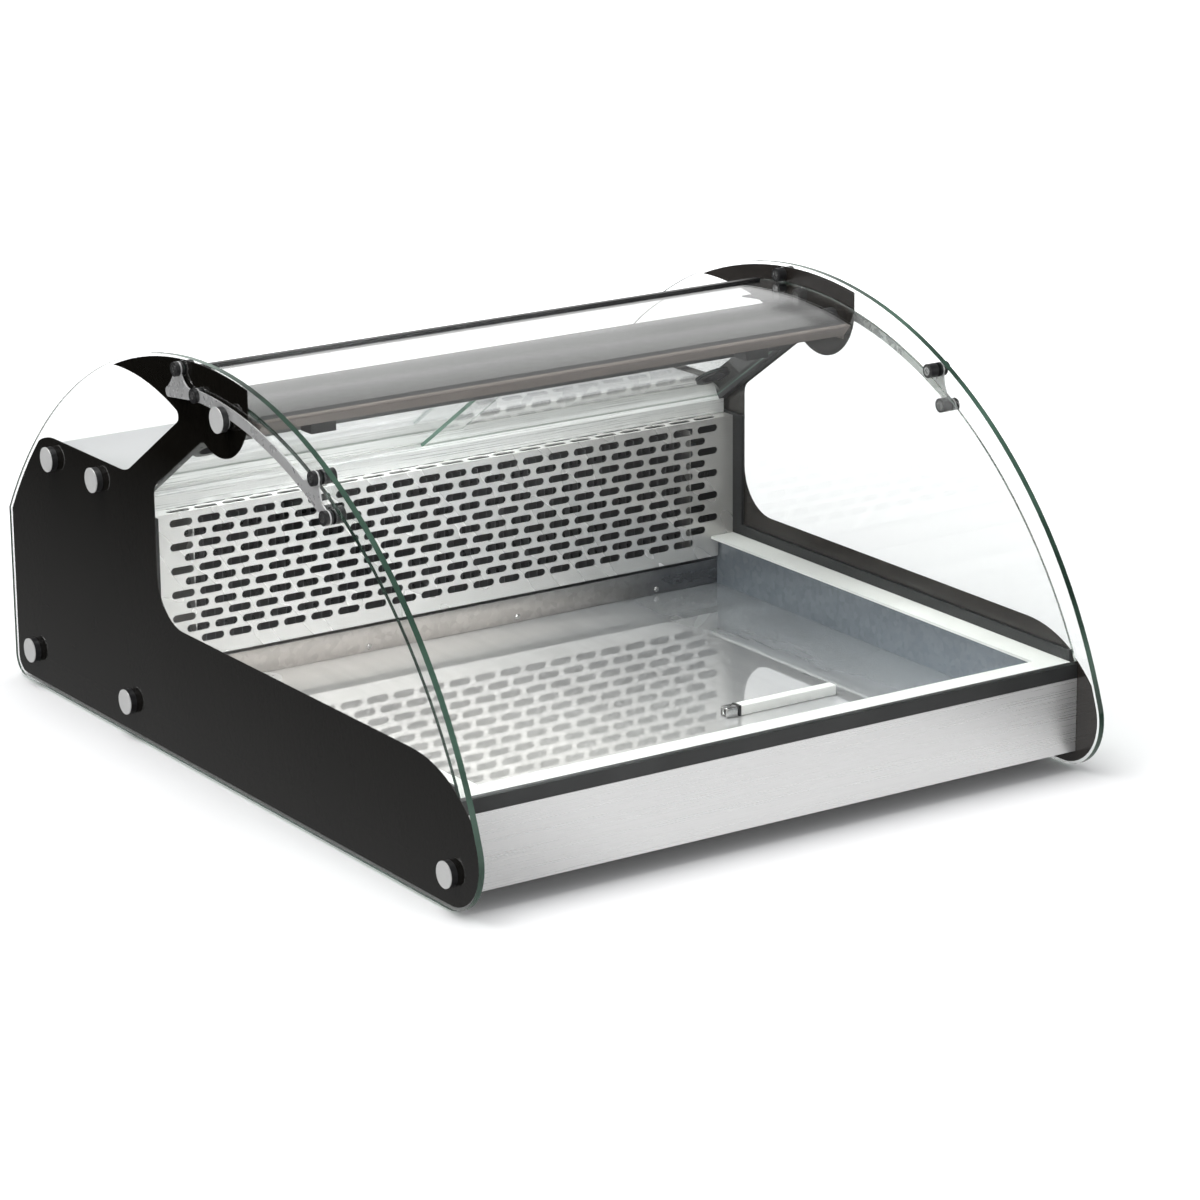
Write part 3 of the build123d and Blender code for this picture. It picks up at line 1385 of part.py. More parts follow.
# Thermometer that lies on the well floor
thermometer_z = well_floor + thermometer_r
cap_z = well_floor + cap_hex / 2
with BuildPart() as thermometer:
    with BuildSketch(side_plane(thermometer_x)):
        with Locations((thermometer_y, thermometer_z)):
            Circle(thermometer_r)
    extrude(amount=collar_length + thermometer_length)
    with BuildSketch(side_plane(thermometer_x)):
        with Locations((thermometer_y, cap_z)):
            RegularPolygon(cap_hex / 2, 6, major_radius=False)
    extrude(amount=-cap_hex_length)
save(thermometer.part, "thermometer")
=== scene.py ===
from math import cos, radians, sin
import bmesh
import bpy
from mathutils import Matrix, Vector


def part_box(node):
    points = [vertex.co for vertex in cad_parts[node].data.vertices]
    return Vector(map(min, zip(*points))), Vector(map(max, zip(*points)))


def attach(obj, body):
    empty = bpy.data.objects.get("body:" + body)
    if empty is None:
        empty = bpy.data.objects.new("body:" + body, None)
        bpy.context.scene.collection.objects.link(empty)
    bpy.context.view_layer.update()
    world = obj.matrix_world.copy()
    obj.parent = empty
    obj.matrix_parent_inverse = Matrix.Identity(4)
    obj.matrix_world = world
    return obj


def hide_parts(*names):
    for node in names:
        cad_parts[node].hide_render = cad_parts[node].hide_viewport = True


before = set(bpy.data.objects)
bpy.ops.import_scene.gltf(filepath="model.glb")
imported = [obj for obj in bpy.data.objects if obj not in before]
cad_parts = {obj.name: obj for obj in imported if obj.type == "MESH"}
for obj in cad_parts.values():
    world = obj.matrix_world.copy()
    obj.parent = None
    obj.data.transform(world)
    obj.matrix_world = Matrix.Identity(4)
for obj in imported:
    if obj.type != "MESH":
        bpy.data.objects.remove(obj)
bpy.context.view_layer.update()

# Camera. It stands in front and to the left of the cabinet and looks down on it through a
# long lens. Its roll is the small tilt of the picture, and nothing is out of focus.
camera_place = Vector((-2.24365, -3.49497, 1.37739))
camera_turn, camera_rise, camera_roll = radians(-33.55), radians(16.75), radians(-0.46)
camera_data = bpy.data.cameras.new("camera")
camera_data.sensor_fit = "HORIZONTAL"
camera_data.sensor_width = 36.0
camera_data.lens = 132.52
camera = bpy.data.objects.new("camera", camera_data)
bpy.context.scene.collection.objects.link(camera)
behind = Vector((sin(camera_turn) * cos(camera_rise), -cos(camera_turn) * cos(camera_rise), sin(camera_rise)))
level_right = (-behind).cross(Vector((0, 0, 1))).normalized()
level_up = level_right.cross(-behind)
right = cos(camera_roll) * level_right + sin(camera_roll) * level_up
up = -sin(camera_roll) * level_right + cos(camera_roll) * level_up
axes = Matrix((right, up, behind)).transposed().to_4x4()
camera.matrix_world = Matrix.Translation(camera_place) @ axes
bpy.context.scene.camera = camera
bpy.context.scene.view_settings.view_transform = "Standard"


# Floor and room. The floor is a plain pale sheet that keeps the cabinet's soft shadow. The room
# is white to the eye and through glass, and lights the cabinet at a plain level.
def fresh_material(name):
    """An empty node material, with its nodes and links to hand."""
    material = bpy.data.materials.new(name)
    material.use_nodes = True
    material.node_tree.nodes.clear()
    return material, material.node_tree.nodes, material.node_tree.links


def add_node(nodes, kind, **settings):
    """A node with its settings, and with its sockets filled by name."""
    node = nodes.new(kind)
    sockets = settings.pop("sockets", {})
    for key, value in settings.items():
        setattr(node, key, value)
    for key, value in sockets.items():
        node.inputs[key].default_value = value
    return node


def ray_kinds(nodes, links):
    """Two switches: a ray from the eye or through glass, and a ray off something polished."""
    path = add_node(nodes, "ShaderNodeLightPath")
    seen = add_node(nodes, "ShaderNodeMath", operation="MAXIMUM")
    links.new(path.outputs["Is Camera Ray"], seen.inputs[0])
    links.new(path.outputs["Is Transmission Ray"], seen.inputs[1])
    polished = add_node(nodes, "ShaderNodeMath", operation="SUBTRACT", use_clamp=True)
    links.new(path.outputs["Glossy Depth"], polished.inputs[0])
    links.new(path.outputs["Diffuse Depth"], polished.inputs[1])
    return seen.outputs[0], polished.outputs[0]


def mix_shaders(nodes, links, switch, off, on):
    """One shader where the switch is 0, and another where it is 1."""
    mix = add_node(nodes, "ShaderNodeMixShader")
    for place, source in enumerate((switch, off, on)):
        links.new(source, mix.inputs[place])
    return mix.outputs[0]


floor_size = 14.0
floor_mesh = bpy.data.meshes.new("studio_floor")
half_floor = floor_size / 2
floor_mesh.from_pydata([(-half_floor, -half_floor, 0), (half_floor, -half_floor, 0),
                        (half_floor, half_floor, 0), (-half_floor, half_floor, 0)], [], [(0, 1, 2, 3)])
floor = bpy.data.objects.new("studio_floor", floor_mesh)
bpy.context.scene.collection.objects.link(floor)
floor_material, nodes, links = fresh_material("studio_floor")
seen, polished = ray_kinds(nodes, links)
floor_matt = add_node(nodes, "ShaderNodeBsdfDiffuse", sockets={"Color": (0.86, 0.86, 0.86, 1)})
floor_glow = add_node(nodes, "ShaderNodeEmission", sockets={"Color": (1, 1, 1, 1)})
floor_place = add_node(nodes, "ShaderNodeTexCoord")
floor_reach = add_node(nodes, "ShaderNodeVectorMath", operation="LENGTH")
links.new(floor_place.outputs["Object"], floor_reach.inputs[0])
far_glow = add_node(nodes, "ShaderNodeMapRange",
                    sockets={"From Min": 0.6, "From Max": 2.2, "To Min": 0.03, "To Max": 1.0})
links.new(floor_reach.outputs["Value"], far_glow.inputs["Value"])
glow_level = add_node(nodes, "ShaderNodeMath", operation="MULTIPLY")
links.new(seen, glow_level.inputs[0])
links.new(far_glow.outputs["Result"], glow_level.inputs[1])
links.new(glow_level.outputs[0], floor_glow.inputs["Strength"])
floor_sum = add_node(nodes, "ShaderNodeAddShader")
links.new(floor_matt.outputs[0], floor_sum.inputs[0])
links.new(floor_glow.outputs[0], floor_sum.inputs[1])
# Polished steel and enamel see the floor ahead of the cabinet as a pale sheet that falls off to
# both ends, and the floor beside it as dim
floor_axes = add_node(nodes, "ShaderNodeSeparateXYZ")
links.new(floor_place.outputs["Object"], floor_axes.inputs[0])
side_distance = add_node(nodes, "ShaderNodeMath", operation="ABSOLUTE")
links.new(floor_axes.outputs["X"], side_distance.inputs[0])
beside = add_node(nodes, "ShaderNodeMapRange",
                  sockets={"From Min": 0.34, "From Max": 0.9, "To Min": 0.30, "To Max": 0.0})
links.new(side_distance.outputs[0], beside.inputs["Value"])
ahead = add_node(nodes, "ShaderNodeMapRange", sockets={"From Min": -0.40, "From Max": -0.46})
links.new(floor_axes.outputs["Y"], ahead.inputs["Value"])
across = add_node(nodes, "ShaderNodeValToRGB")
across.color_ramp.interpolation = "EASE"
floor_shift = add_node(nodes, "ShaderNodeMapRange", sockets={"From Min": -0.5, "From Max": 0.8})
links.new(floor_axes.outputs["X"], floor_shift.inputs["Value"])
links.new(floor_shift.outputs["Result"], across.inputs["Fac"])
falloff = ((0.0, 0.4), (0.17, 0.55), (0.32, 1.0), (0.62, 1.0), (0.67, 0.8), (0.73, 0.3), (1.0, 0.05))
for place, level in falloff[1:-1]:
    across.color_ramp.elements.new(place)
for stop, (place, level) in zip(across.color_ramp.elements, falloff):
    stop.color = (level, level, level, 1)
dim_level = add_node(nodes, "ShaderNodeMix", data_type="FLOAT")
links.new(ahead.outputs["Result"], dim_level.inputs["Factor"])
links.new(beside.outputs["Result"], dim_level.inputs["A"])
links.new(across.outputs["Color"], dim_level.inputs["B"])
floor_dim = add_node(nodes, "ShaderNodeEmission", sockets={"Color": (1, 1, 1, 1)})
links.new(dim_level.outputs["Result"], floor_dim.inputs["Strength"])
floor_out = add_node(nodes, "ShaderNodeOutputMaterial")
links.new(mix_shaders(nodes, links, polished, floor_sum.outputs[0], floor_dim.outputs[0]),
          floor_out.inputs["Surface"])
floor_mesh.materials.append(floor_material)

room = bpy.data.worlds.new("room")
bpy.context.scene.world = room
room.use_nodes = True
nodes, links = room.node_tree.nodes, room.node_tree.links
nodes.clear()
seen, polished = ray_kinds(nodes, links)
room_light = add_node(nodes, "ShaderNodeBackground",
                      sockets={"Color": (0.97, 0.98, 1.0, 1), "Strength": 0.55})
room_view = add_node(nodes, "ShaderNodeBackground", sockets={"Color": (1, 1, 1, 1), "Strength": 1.0})
room_plain = mix_shaders(nodes, links, seen, room_light.outputs[0], room_view.outputs[0])
# Polished things see bands of panel and gap as the walls rise to a dim ceiling
room_place = add_node(nodes, "ShaderNodeTexCoord")
room_axes = add_node(nodes, "ShaderNodeSeparateXYZ")
links.new(room_place.outputs["Generated"], room_axes.inputs[0])


def wall_of_bands(*bands):
    """The brightness of one wall by height, as pairs of height and level."""
    ramp = add_node(nodes, "ShaderNodeValToRGB")
    stops = ramp.color_ramp.elements
    for place, level in bands[1:-1]:
        stops.new(place)
    for stop, (place, level) in zip(stops, bands):
        stop.position, stop.color = place, (level, level, level, 1)
    links.new(room_axes.outputs["Z"], ramp.inputs["Fac"])
    return ramp.outputs["Color"]


rear_wall = wall_of_bands((0.0, 0.85), (0.30, 1.0), (0.34, 0.85), (0.39, 0.50), (0.43, 0.52), (0.47, 0.76),
                          (0.54, 0.46), (0.61, 0.24), (0.75, 0.12), (1.0, 0.12))
front_wall = wall_of_bands((0.0, 0.9), (0.33, 0.95), (0.43, 0.16), (0.6, 0.07), (1.0, 0.10))
wall_side = add_node(nodes, "ShaderNodeMapRange", sockets={"From Min": -0.1, "From Max": 0.1})
links.new(room_axes.outputs["Y"], wall_side.inputs["Value"])
both_walls = add_node(nodes, "ShaderNodeMix", data_type="RGBA")
links.new(wall_side.outputs["Result"], both_walls.inputs["Factor"])
links.new(front_wall, both_walls.inputs["A"])
links.new(rear_wall, both_walls.inputs["B"])
room_bands = add_node(nodes, "ShaderNodeBackground")
links.new(both_walls.outputs["Result"], room_bands.inputs["Color"])
room_out = add_node(nodes, "ShaderNodeOutputWorld")
links.new(mix_shaders(nodes, links, polished, room_plain, room_bands.outputs[0]),
          room_out.inputs["Surface"])


# Studio lamps: one large softbox overhead and a little to the left, a tall weak one far out on
# the left for the black side, and a low weak one in front for the fascia.
def softbox(name, place, target, width, height, power):
    """A large soft lamp that faces its target."""
    data = bpy.data.lights.new(name, "AREA")
    data.shape = "RECTANGLE"
    data.size = width
    data.size_y = height
    data.energy = power
    lamp = bpy.data.objects.new(name, data)
    bpy.context.scene.collection.objects.link(lamp)
    lamp.location = place
    lamp.rotation_euler = (Vector(target) - Vector(place)).to_track_quat("-Z", "Y").to_euler()


softbox("softbox_above", (-0.5, 0.3, 3.2), (0, 0, 0.2), width=2.4, height=2.4, power=95)
softbox("softbox_left", (-3.6, -0.6, 1.6), (0, 0, 0.2), width=1.6, height=2.2, power=18)
softbox("softbox_front", (-0.6, -3.9, 1.3), (0, 0, 0.1), width=1.8, height=1.2, power=16)


# Side glasses: two plates of 6 mm float glass, cut to the cabinet's profile, with ground and
# polished edges. Face on they are clear, and along the cut edge they are bottle green.
def wire_up(nodes, links, shader, clear_to_shadows=False):
    """Ends a material with its output, and lets the light of lamps through where it is glass."""
    if clear_to_shadows:
        path = add_node(nodes, "ShaderNodeLightPath")
        through = add_node(nodes, "ShaderNodeBsdfTransparent", sockets={"Color": (0.93, 0.96, 0.94, 1)})
        shader = mix_shaders(nodes, links, path.outputs["Is Shadow Ray"], shader, through.outputs[0])
    out = add_node(nodes, "ShaderNodeOutputMaterial")
    links.new(shader, out.inputs["Surface"])


def noise_field(nodes, links, scale, stretch=(1, 1, 1), detail=3.0, roughness=0.5):
    """Noise on the piece's own coordinates, in cycles a metre, stretched along its grain."""
    where = add_node(nodes, "ShaderNodeTexCoord")
    place = add_node(nodes, "ShaderNodeMapping", sockets={"Scale": stretch})
    noise = add_node(nodes, "ShaderNodeTexNoise",
                     sockets={"Scale": scale, "Detail": detail, "Roughness": roughness})
    links.new(where.outputs["Object"], place.inputs["Vector"])
    links.new(place.outputs["Vector"], noise.inputs["Vector"])
    return noise.outputs["Fac"]


def spread(nodes, links, field, low, high, start=0.3, end=0.7):
    """A field from 0 to 1 opened out to the values between low and high."""
    fit = add_node(nodes, "ShaderNodeMapRange", sockets={"From Min": start, "From Max": end,
                                                        "To Min": low, "To Max": high})
    links.new(field, fit.inputs["Value"])
    return fit.outputs["Result"]


def shade_between(nodes, links, field, dark, light, start=0.3, end=0.7):
    """Two colours mixed by a field."""
    ramp = add_node(nodes, "ShaderNodeValToRGB")
    ramp.color_ramp.elements[0].position = start
    ramp.color_ramp.elements[1].position = end
    ramp.color_ramp.elements[0].color = (*dark, 1)
    ramp.color_ramp.elements[1].color = (*light, 1)
    links.new(field, ramp.inputs["Fac"])
    return ramp.outputs["Color"]


def raise_by(nodes, links, shader, field, distance, strength=1.0):
    """Relief of a field on a shader, with its height in metres."""
    bump = add_node(nodes, "ShaderNodeBump", sockets={"Distance": distance, "Strength": strength})
    links.new(field, bump.inputs["Height"])
    links.new(bump.outputs["Normal"], shader.inputs["Normal"])


def facing(nodes, links, axis):
    """How squarely the surface faces along one axis of the piece, from 0 to 1."""
    where = add_node(nodes, "ShaderNodeTexCoord")
    parts = add_node(nodes, "ShaderNodeSeparateXYZ")
    links.new(where.outputs["Normal"], parts.inputs[0])
    size = add_node(nodes, "ShaderNodeMath", operation="ABSOLUTE")
    links.new(parts.outputs[axis], size.inputs[0])
    return size.outputs[0]


def is_over(nodes, links, field, limit):
    """A switch that is 1 where a field is over its limit."""
    step = add_node(nodes, "ShaderNodeMath", operation="GREATER_THAN")
    links.new(field, step.inputs[0])
    step.inputs[1].default_value = limit
    return step.outputs[0]


def float_glass(name, face_axis, edge_dark, edge_light):
    """Clear plate glass whose faces across one axis are clear and whose cut edge is green."""
    material, nodes, links = fresh_material(name)
    face = add_node(nodes, "ShaderNodeBsdfPrincipled", sockets={
        "Base Color": (0.985, 0.995, 0.99, 1), "Transmission Weight": 1.0, "IOR": 1.5, "Roughness": 0.0})
    edge = add_node(nodes, "ShaderNodeBsdfPrincipled", sockets={"Transmission Weight": 0.3, "IOR": 1.5})
    grind = noise_field(nodes, links, 9, detail=4)
    links.new(shade_between(nodes, links, grind, edge_dark, edge_light), edge.inputs["Base Color"])
    links.new(spread(nodes, links, grind, 0.06, 0.2), edge.inputs["Roughness"])
    is_face = is_over(nodes, links, facing(nodes, links, face_axis), limit=0.7)
    wire_up(nodes, links, mix_shaders(nodes, links, is_face, edge.outputs[0], face.outputs[0]),
            clear_to_shadows=True)
    return material


def dress(material, *names):
    """Gives CAD nodes their finish."""
    for name in names:
        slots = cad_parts[name].data.materials
        for place in range(len(slots)):
            slots[place] = material
        if not slots:
            slots.append(material)


dress(float_glass("side_float_glass", "X", (0.008, 0.022, 0.014), (0.10, 0.19, 0.14)),
      "side_glass_left", "side_glass_right")


# Black screen print on the inside of the side glasses: one fired enamel film from nose to
# tail, deep brown-black and glossy, with a little orange peel.
def enamel(name, dark, light, roughness=(0.16, 0.26), ripple=0.000002):
    """Glossy baked or fired colour, uneven in depth, with a faint ripple."""
    material, nodes, links = fresh_material(name)
    patch = noise_field(nodes, links, 9, detail=3)
    peel = noise_field(nodes, links, 420, detail=2)
    skin = add_node(nodes, "ShaderNodeBsdfPrincipled", sockets={"IOR": 1.5})
    links.new(shade_between(nodes, links, patch, dark, light), skin.inputs["Base Color"])
    links.new(spread(nodes, links, patch, *roughness), skin.inputs["Roughness"])
    raise_by(nodes, links, skin, peel, ripple)
    wire_up(nodes, links, skin.outputs[0])
    return material


dress(enamel("fired_black_film", (0.017, 0.0140, 0.0120), (0.023, 0.0195, 0.0170), ripple=0.0000006),
      "side_mask_left", "side_mask_right")


# Side panels and base pan: folded sheet steel, powder coated dark grey, behind the film and
# under the machine. The coat has the fine pebble of baked powder.
def powder_coat(name, dark, light, grain=900, depth=0.00006):
    """Baked powder paint on steel."""
    material, nodes, links = fresh_material(name)
    patch = noise_field(nodes, links, 6, detail=4)
    pebble = noise_field(nodes, links, grain, detail=2)
    skin = add_node(nodes, "ShaderNodeBsdfPrincipled", sockets={"IOR": 1.48})
    links.new(shade_between(nodes, links, patch, dark, light), skin.inputs["Base Color"])
    links.new(spread(nodes, links, pebble, 0.36, 0.52), skin.inputs["Roughness"])
    raise_by(nodes, links, skin, pebble, depth)
    wire_up(nodes, links, skin.outputs[0])
    return material


dark_coat = powder_coat("dark_powder_coat", (0.009, 0.010, 0.011), (0.016, 0.017, 0.018))
dress(dark_coat, "side_panel_left", "side_panel_right", "base_pan")


# Feet and compressor bushes: moulded black rubber, matt, with a chalky bloom. The feet stand
# under the corners of the base pan, and the bushes under the compressor's foot plate.
def rubber(name):
    """Matt moulded rubber."""
    material, nodes, links = fresh_material(name)
    bloom = noise_field(nodes, links, 55, detail=5)
    grain = noise_field(nodes, links, 1600, detail=2)
    skin = add_node(nodes, "ShaderNodeBsdfPrincipled", sockets={"IOR": 1.45, "Specular IOR Level": 0.3})
    links.new(shade_between(nodes, links, bloom, (0.014, 0.014, 0.014), (0.04, 0.04, 0.04)),
              skin.inputs["Base Color"])
    links.new(spread(nodes, links, bloom, 0.62, 0.85), skin.inputs["Roughness"])
    raise_by(nodes, links, skin, grain, 0.00005)
    wire_up(nodes, links, skin.outputs[0])
    return material


dress(rubber("black_rubber"), "feet", "compressor_mounts")


# Front fascia: stainless sheet under the well, brushed along its length and bent round
# the base. The grain is long fine scratches that break the reflections into streaks.
def laid_over(nodes, links, field, share, base):
    """A share of one field laid over another."""
    both = add_node(nodes, "ShaderNodeMath", operation="MULTIPLY_ADD")
    links.new(field, both.inputs[0])
    both.inputs[1].default_value = share
    links.new(base, both.inputs[2])
    return both.outputs[0]


def brushed_steel(name, dark, light, grain, roughness=(0.24, 0.42), depth=0.00002, metal=1.0):
    """Stainless steel brushed along the axis with the smallest number in grain."""
    material, nodes, links = fresh_material(name)
    streak = noise_field(nodes, links, 1.0, stretch=grain, detail=4, roughness=0.65)
    patch = noise_field(nodes, links, 5, detail=3)
    wear = laid_over(nodes, links, patch, 0.35, spread(nodes, links, streak, 0.0, 0.65, 0.25, 0.75))
    skin = add_node(nodes, "ShaderNodeBsdfPrincipled", sockets={"Metallic": metal, "IOR": 2.0})
    links.new(shade_between(nodes, links, wear, dark, light, 0.1, 0.9), skin.inputs["Base Color"])
    links.new(spread(nodes, links, streak, *roughness), skin.inputs["Roughness"])
    raise_by(nodes, links, skin, streak, depth)
    wire_up(nodes, links, skin.outputs[0])
    return material


dress(brushed_steel("fascia_steel", (0.69, 0.69, 0.69), (0.77, 0.77, 0.765), grain=(5, 1100, 1100),
                    roughness=(0.24, 0.36), depth=0.000003, metal=0.75),
      "front_fascia")


# Front strip: extruded black plastic along the top of the fascia, which holds the foot of
# the front glass. Smooth, with faint die lines along it.
def moulded_plastic(name, dark, light, roughness=(0.28, 0.42), grain=(700, 700, 700), depth=0.00003):
    """Moulded or extruded plastic with a light grain."""
    material, nodes, links = fresh_material(name)
    texture = noise_field(nodes, links, 1.0, stretch=grain, detail=2)
    patch = noise_field(nodes, links, 18, detail=3)
    skin = add_node(nodes, "ShaderNodeBsdfPrincipled", sockets={"IOR": 1.49})
    links.new(shade_between(nodes, links, patch, dark, light), skin.inputs["Base Color"])
    links.new(spread(nodes, links, texture, *roughness), skin.inputs["Roughness"])
    raise_by(nodes, links, skin, texture, depth)
    wire_up(nodes, links, skin.outputs[0])
    return material


black_plastic = moulded_plastic("black_plastic", (0.010, 0.010, 0.011), (0.022, 0.022, 0.023))
dress(moulded_plastic("strip_plastic", (0.012, 0.013, 0.013), (0.024, 0.025, 0.025), grain=(8, 900, 900)),
      "front_strip")


# Well frame: a white plastic moulding laid round the rim of the well, between its cold sheet
# and the outer steel. The drain pipe under the well is of the same plastic.
white_plastic = moulded_plastic("white_plastic", (0.74, 0.74, 0.72), (0.83, 0.83, 0.81),
                                roughness=(0.32, 0.46))
dress(white_plastic, "well_frame", "drain_pipe")


# Well: a pressed tub of bright steel sheet. Its walls keep the zinc spangle of the sheet, and
# its floor is rolled bright, so that the cover stands mirrored in it. Its colour carries painted
# shade across the well: warm and pale on the left, darker and blue-grey on the right.
def left_to_right(nodes, links, left_end, right_end, left=0.0, right=1.0):
    """A value that runs from one end of a piece to the other."""
    where = add_node(nodes, "ShaderNodeTexCoord")
    along = add_node(nodes, "ShaderNodeSeparateXYZ")
    links.new(where.outputs["Object"], along.inputs[0])
    return spread(nodes, links, along.outputs["X"], left, right, left_end, right_end)


def multiplied(nodes, links, colour, shade_and_grain):
    """One colour multiplied by another."""
    product = add_node(nodes, "ShaderNodeMix", data_type="RGBA", blend_type="MULTIPLY",
                       sockets={"Factor": 1.0})
    links.new(colour, product.inputs["A"])
    links.new(shade_and_grain, product.inputs["B"])
    return product.outputs["Result"]


def well_sheet(name, wall_left, wall_right, wall_start=0.25, wall_end=1.0):
    """Bright sheet with spangle on its walls, rolling streaks on its floor, and painted shade from left to
    right.
    """
    material, nodes, links = fresh_material(name)
    where = add_node(nodes, "ShaderNodeTexCoord")
    crystal = add_node(nodes, "ShaderNodeTexVoronoi", sockets={"Scale": 160.0, "Randomness": 1.0})
    links.new(where.outputs["Object"], crystal.inputs["Vector"])
    spangle = add_node(nodes, "ShaderNodeSeparateColor")
    links.new(crystal.outputs["Color"], spangle.inputs[0])
    streak = noise_field(nodes, links, 1.0, stretch=(26, 4, 26), detail=5, roughness=0.6)
    fine = noise_field(nodes, links, 1.0, stretch=(700, 12, 700), detail=3, roughness=0.6)
    level = facing(nodes, links, "Z")
    side = left_to_right(nodes, links, left_end=-0.25, right_end=0.34)
    # Painted shade: walls and floor are coloured darker and bluer from left to right.
    wall_painted_shade = shade_between(nodes, links, side, wall_left, wall_right, wall_start, wall_end)
    floor_painted_shade = shade_between(nodes, links, side, (0.96, 0.93, 0.91), (0.40, 0.42, 0.45), 0.20, 1.0)
    wall_grain = shade_between(nodes, links, spangle.outputs[0], (0.82, 0.82, 0.82), (1, 1, 1), 0.0, 1.0)
    floor_grain = shade_between(nodes, links, streak, (0.84, 0.84, 0.84), (1, 1, 1))
    shade_and_grain = add_node(nodes, "ShaderNodeMix", data_type="RGBA")
    grain = add_node(nodes, "ShaderNodeMix", data_type="RGBA")
    for mix, wall, floor_shade in ((shade_and_grain, wall_painted_shade, floor_painted_shade), (grain, wall_grain, floor_grain)):
        links.new(level, mix.inputs["Factor"])
        links.new(wall, mix.inputs["A"])
        links.new(floor_shade, mix.inputs["B"])
    rough = add_node(nodes, "ShaderNodeMix", data_type="FLOAT")
    links.new(level, rough.inputs["Factor"])
    links.new(spread(nodes, links, spangle.outputs[1], 0.16, 0.26, 0, 1), rough.inputs["A"])
    links.new(spread(nodes, links, streak, 0.006, 0.02), rough.inputs["B"])
    skin = add_node(nodes, "ShaderNodeBsdfPrincipled", sockets={"Metallic": 0.58, "IOR": 2.0})
    links.new(multiplied(nodes, links, shade_and_grain.outputs["Result"], grain.outputs["Result"]),
              skin.inputs["Base Color"])
    links.new(rough.outputs["Result"], skin.inputs["Roughness"])
    raise_by(nodes, links, skin, fine, 0.000001)
    wire_up(nodes, links, skin.outputs[0])
    return material


tub_sheet = well_sheet("well_sheet", (0.90, 0.87, 0.85), (0.32, 0.36, 0.405))
dress(tub_sheet, "well_tub")


# Kick plate: a strip of 1 mm sheet that closes the back of the well, from its floor to a slit
# for the return air under the evaporator cover. It is riveted along its foot.
def soft_block(name, low, high, corner, material, body):
    """A block with rounded edges between two corners of its box."""
    shape = bmesh.new()
    bmesh.ops.create_cube(shape, size=1.0)
    middle, size = (low + high) / 2, high - low
    for vert in shape.verts:
        vert.co = Vector((vert.co.x * size.x, vert.co.y * size.y, vert.co.z * size.z)) + middle
    bmesh.ops.bevel(shape, geom=shape.edges[:], offset=corner, segments=3, affect="EDGES", profile=0.5)
    mesh = bpy.data.meshes.new(name)
    shape.to_mesh(mesh)
    shape.free()
    mesh.materials.append(material)
    for face in mesh.polygons:
        face.use_smooth = True
    piece = bpy.data.objects.new(name, mesh)
    bpy.context.scene.collection.objects.link(piece)
    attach(piece, body)
    return piece


well_low, well_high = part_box("well_tub")
cover_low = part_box("evaporator_cover")[0]
plate_set_back, plate_sheet, plate_gap, plate_corner, air_slit = 0.0047, 0.001, 0.0015, 0.0003, 0.005
plate_front = cover_low.y + plate_set_back
# Painted shade: the plate is pale on its left and near-black towards the rear right corner of the well.
kick_plate_sheet = well_sheet("kick_plate_sheet", (0.66, 0.615, 0.58), (0.09, 0.092, 0.10),
                              wall_start=0.50, wall_end=0.86)
soft_block("well_kick_plate", Vector((well_low.x + plate_gap, plate_front, well_low.z + plate_gap)),
           Vector((well_high.x - plate_gap, plate_front + plate_sheet, cover_low.z - air_slit)),
           plate_corner, kick_plate_sheet, "cabinet")


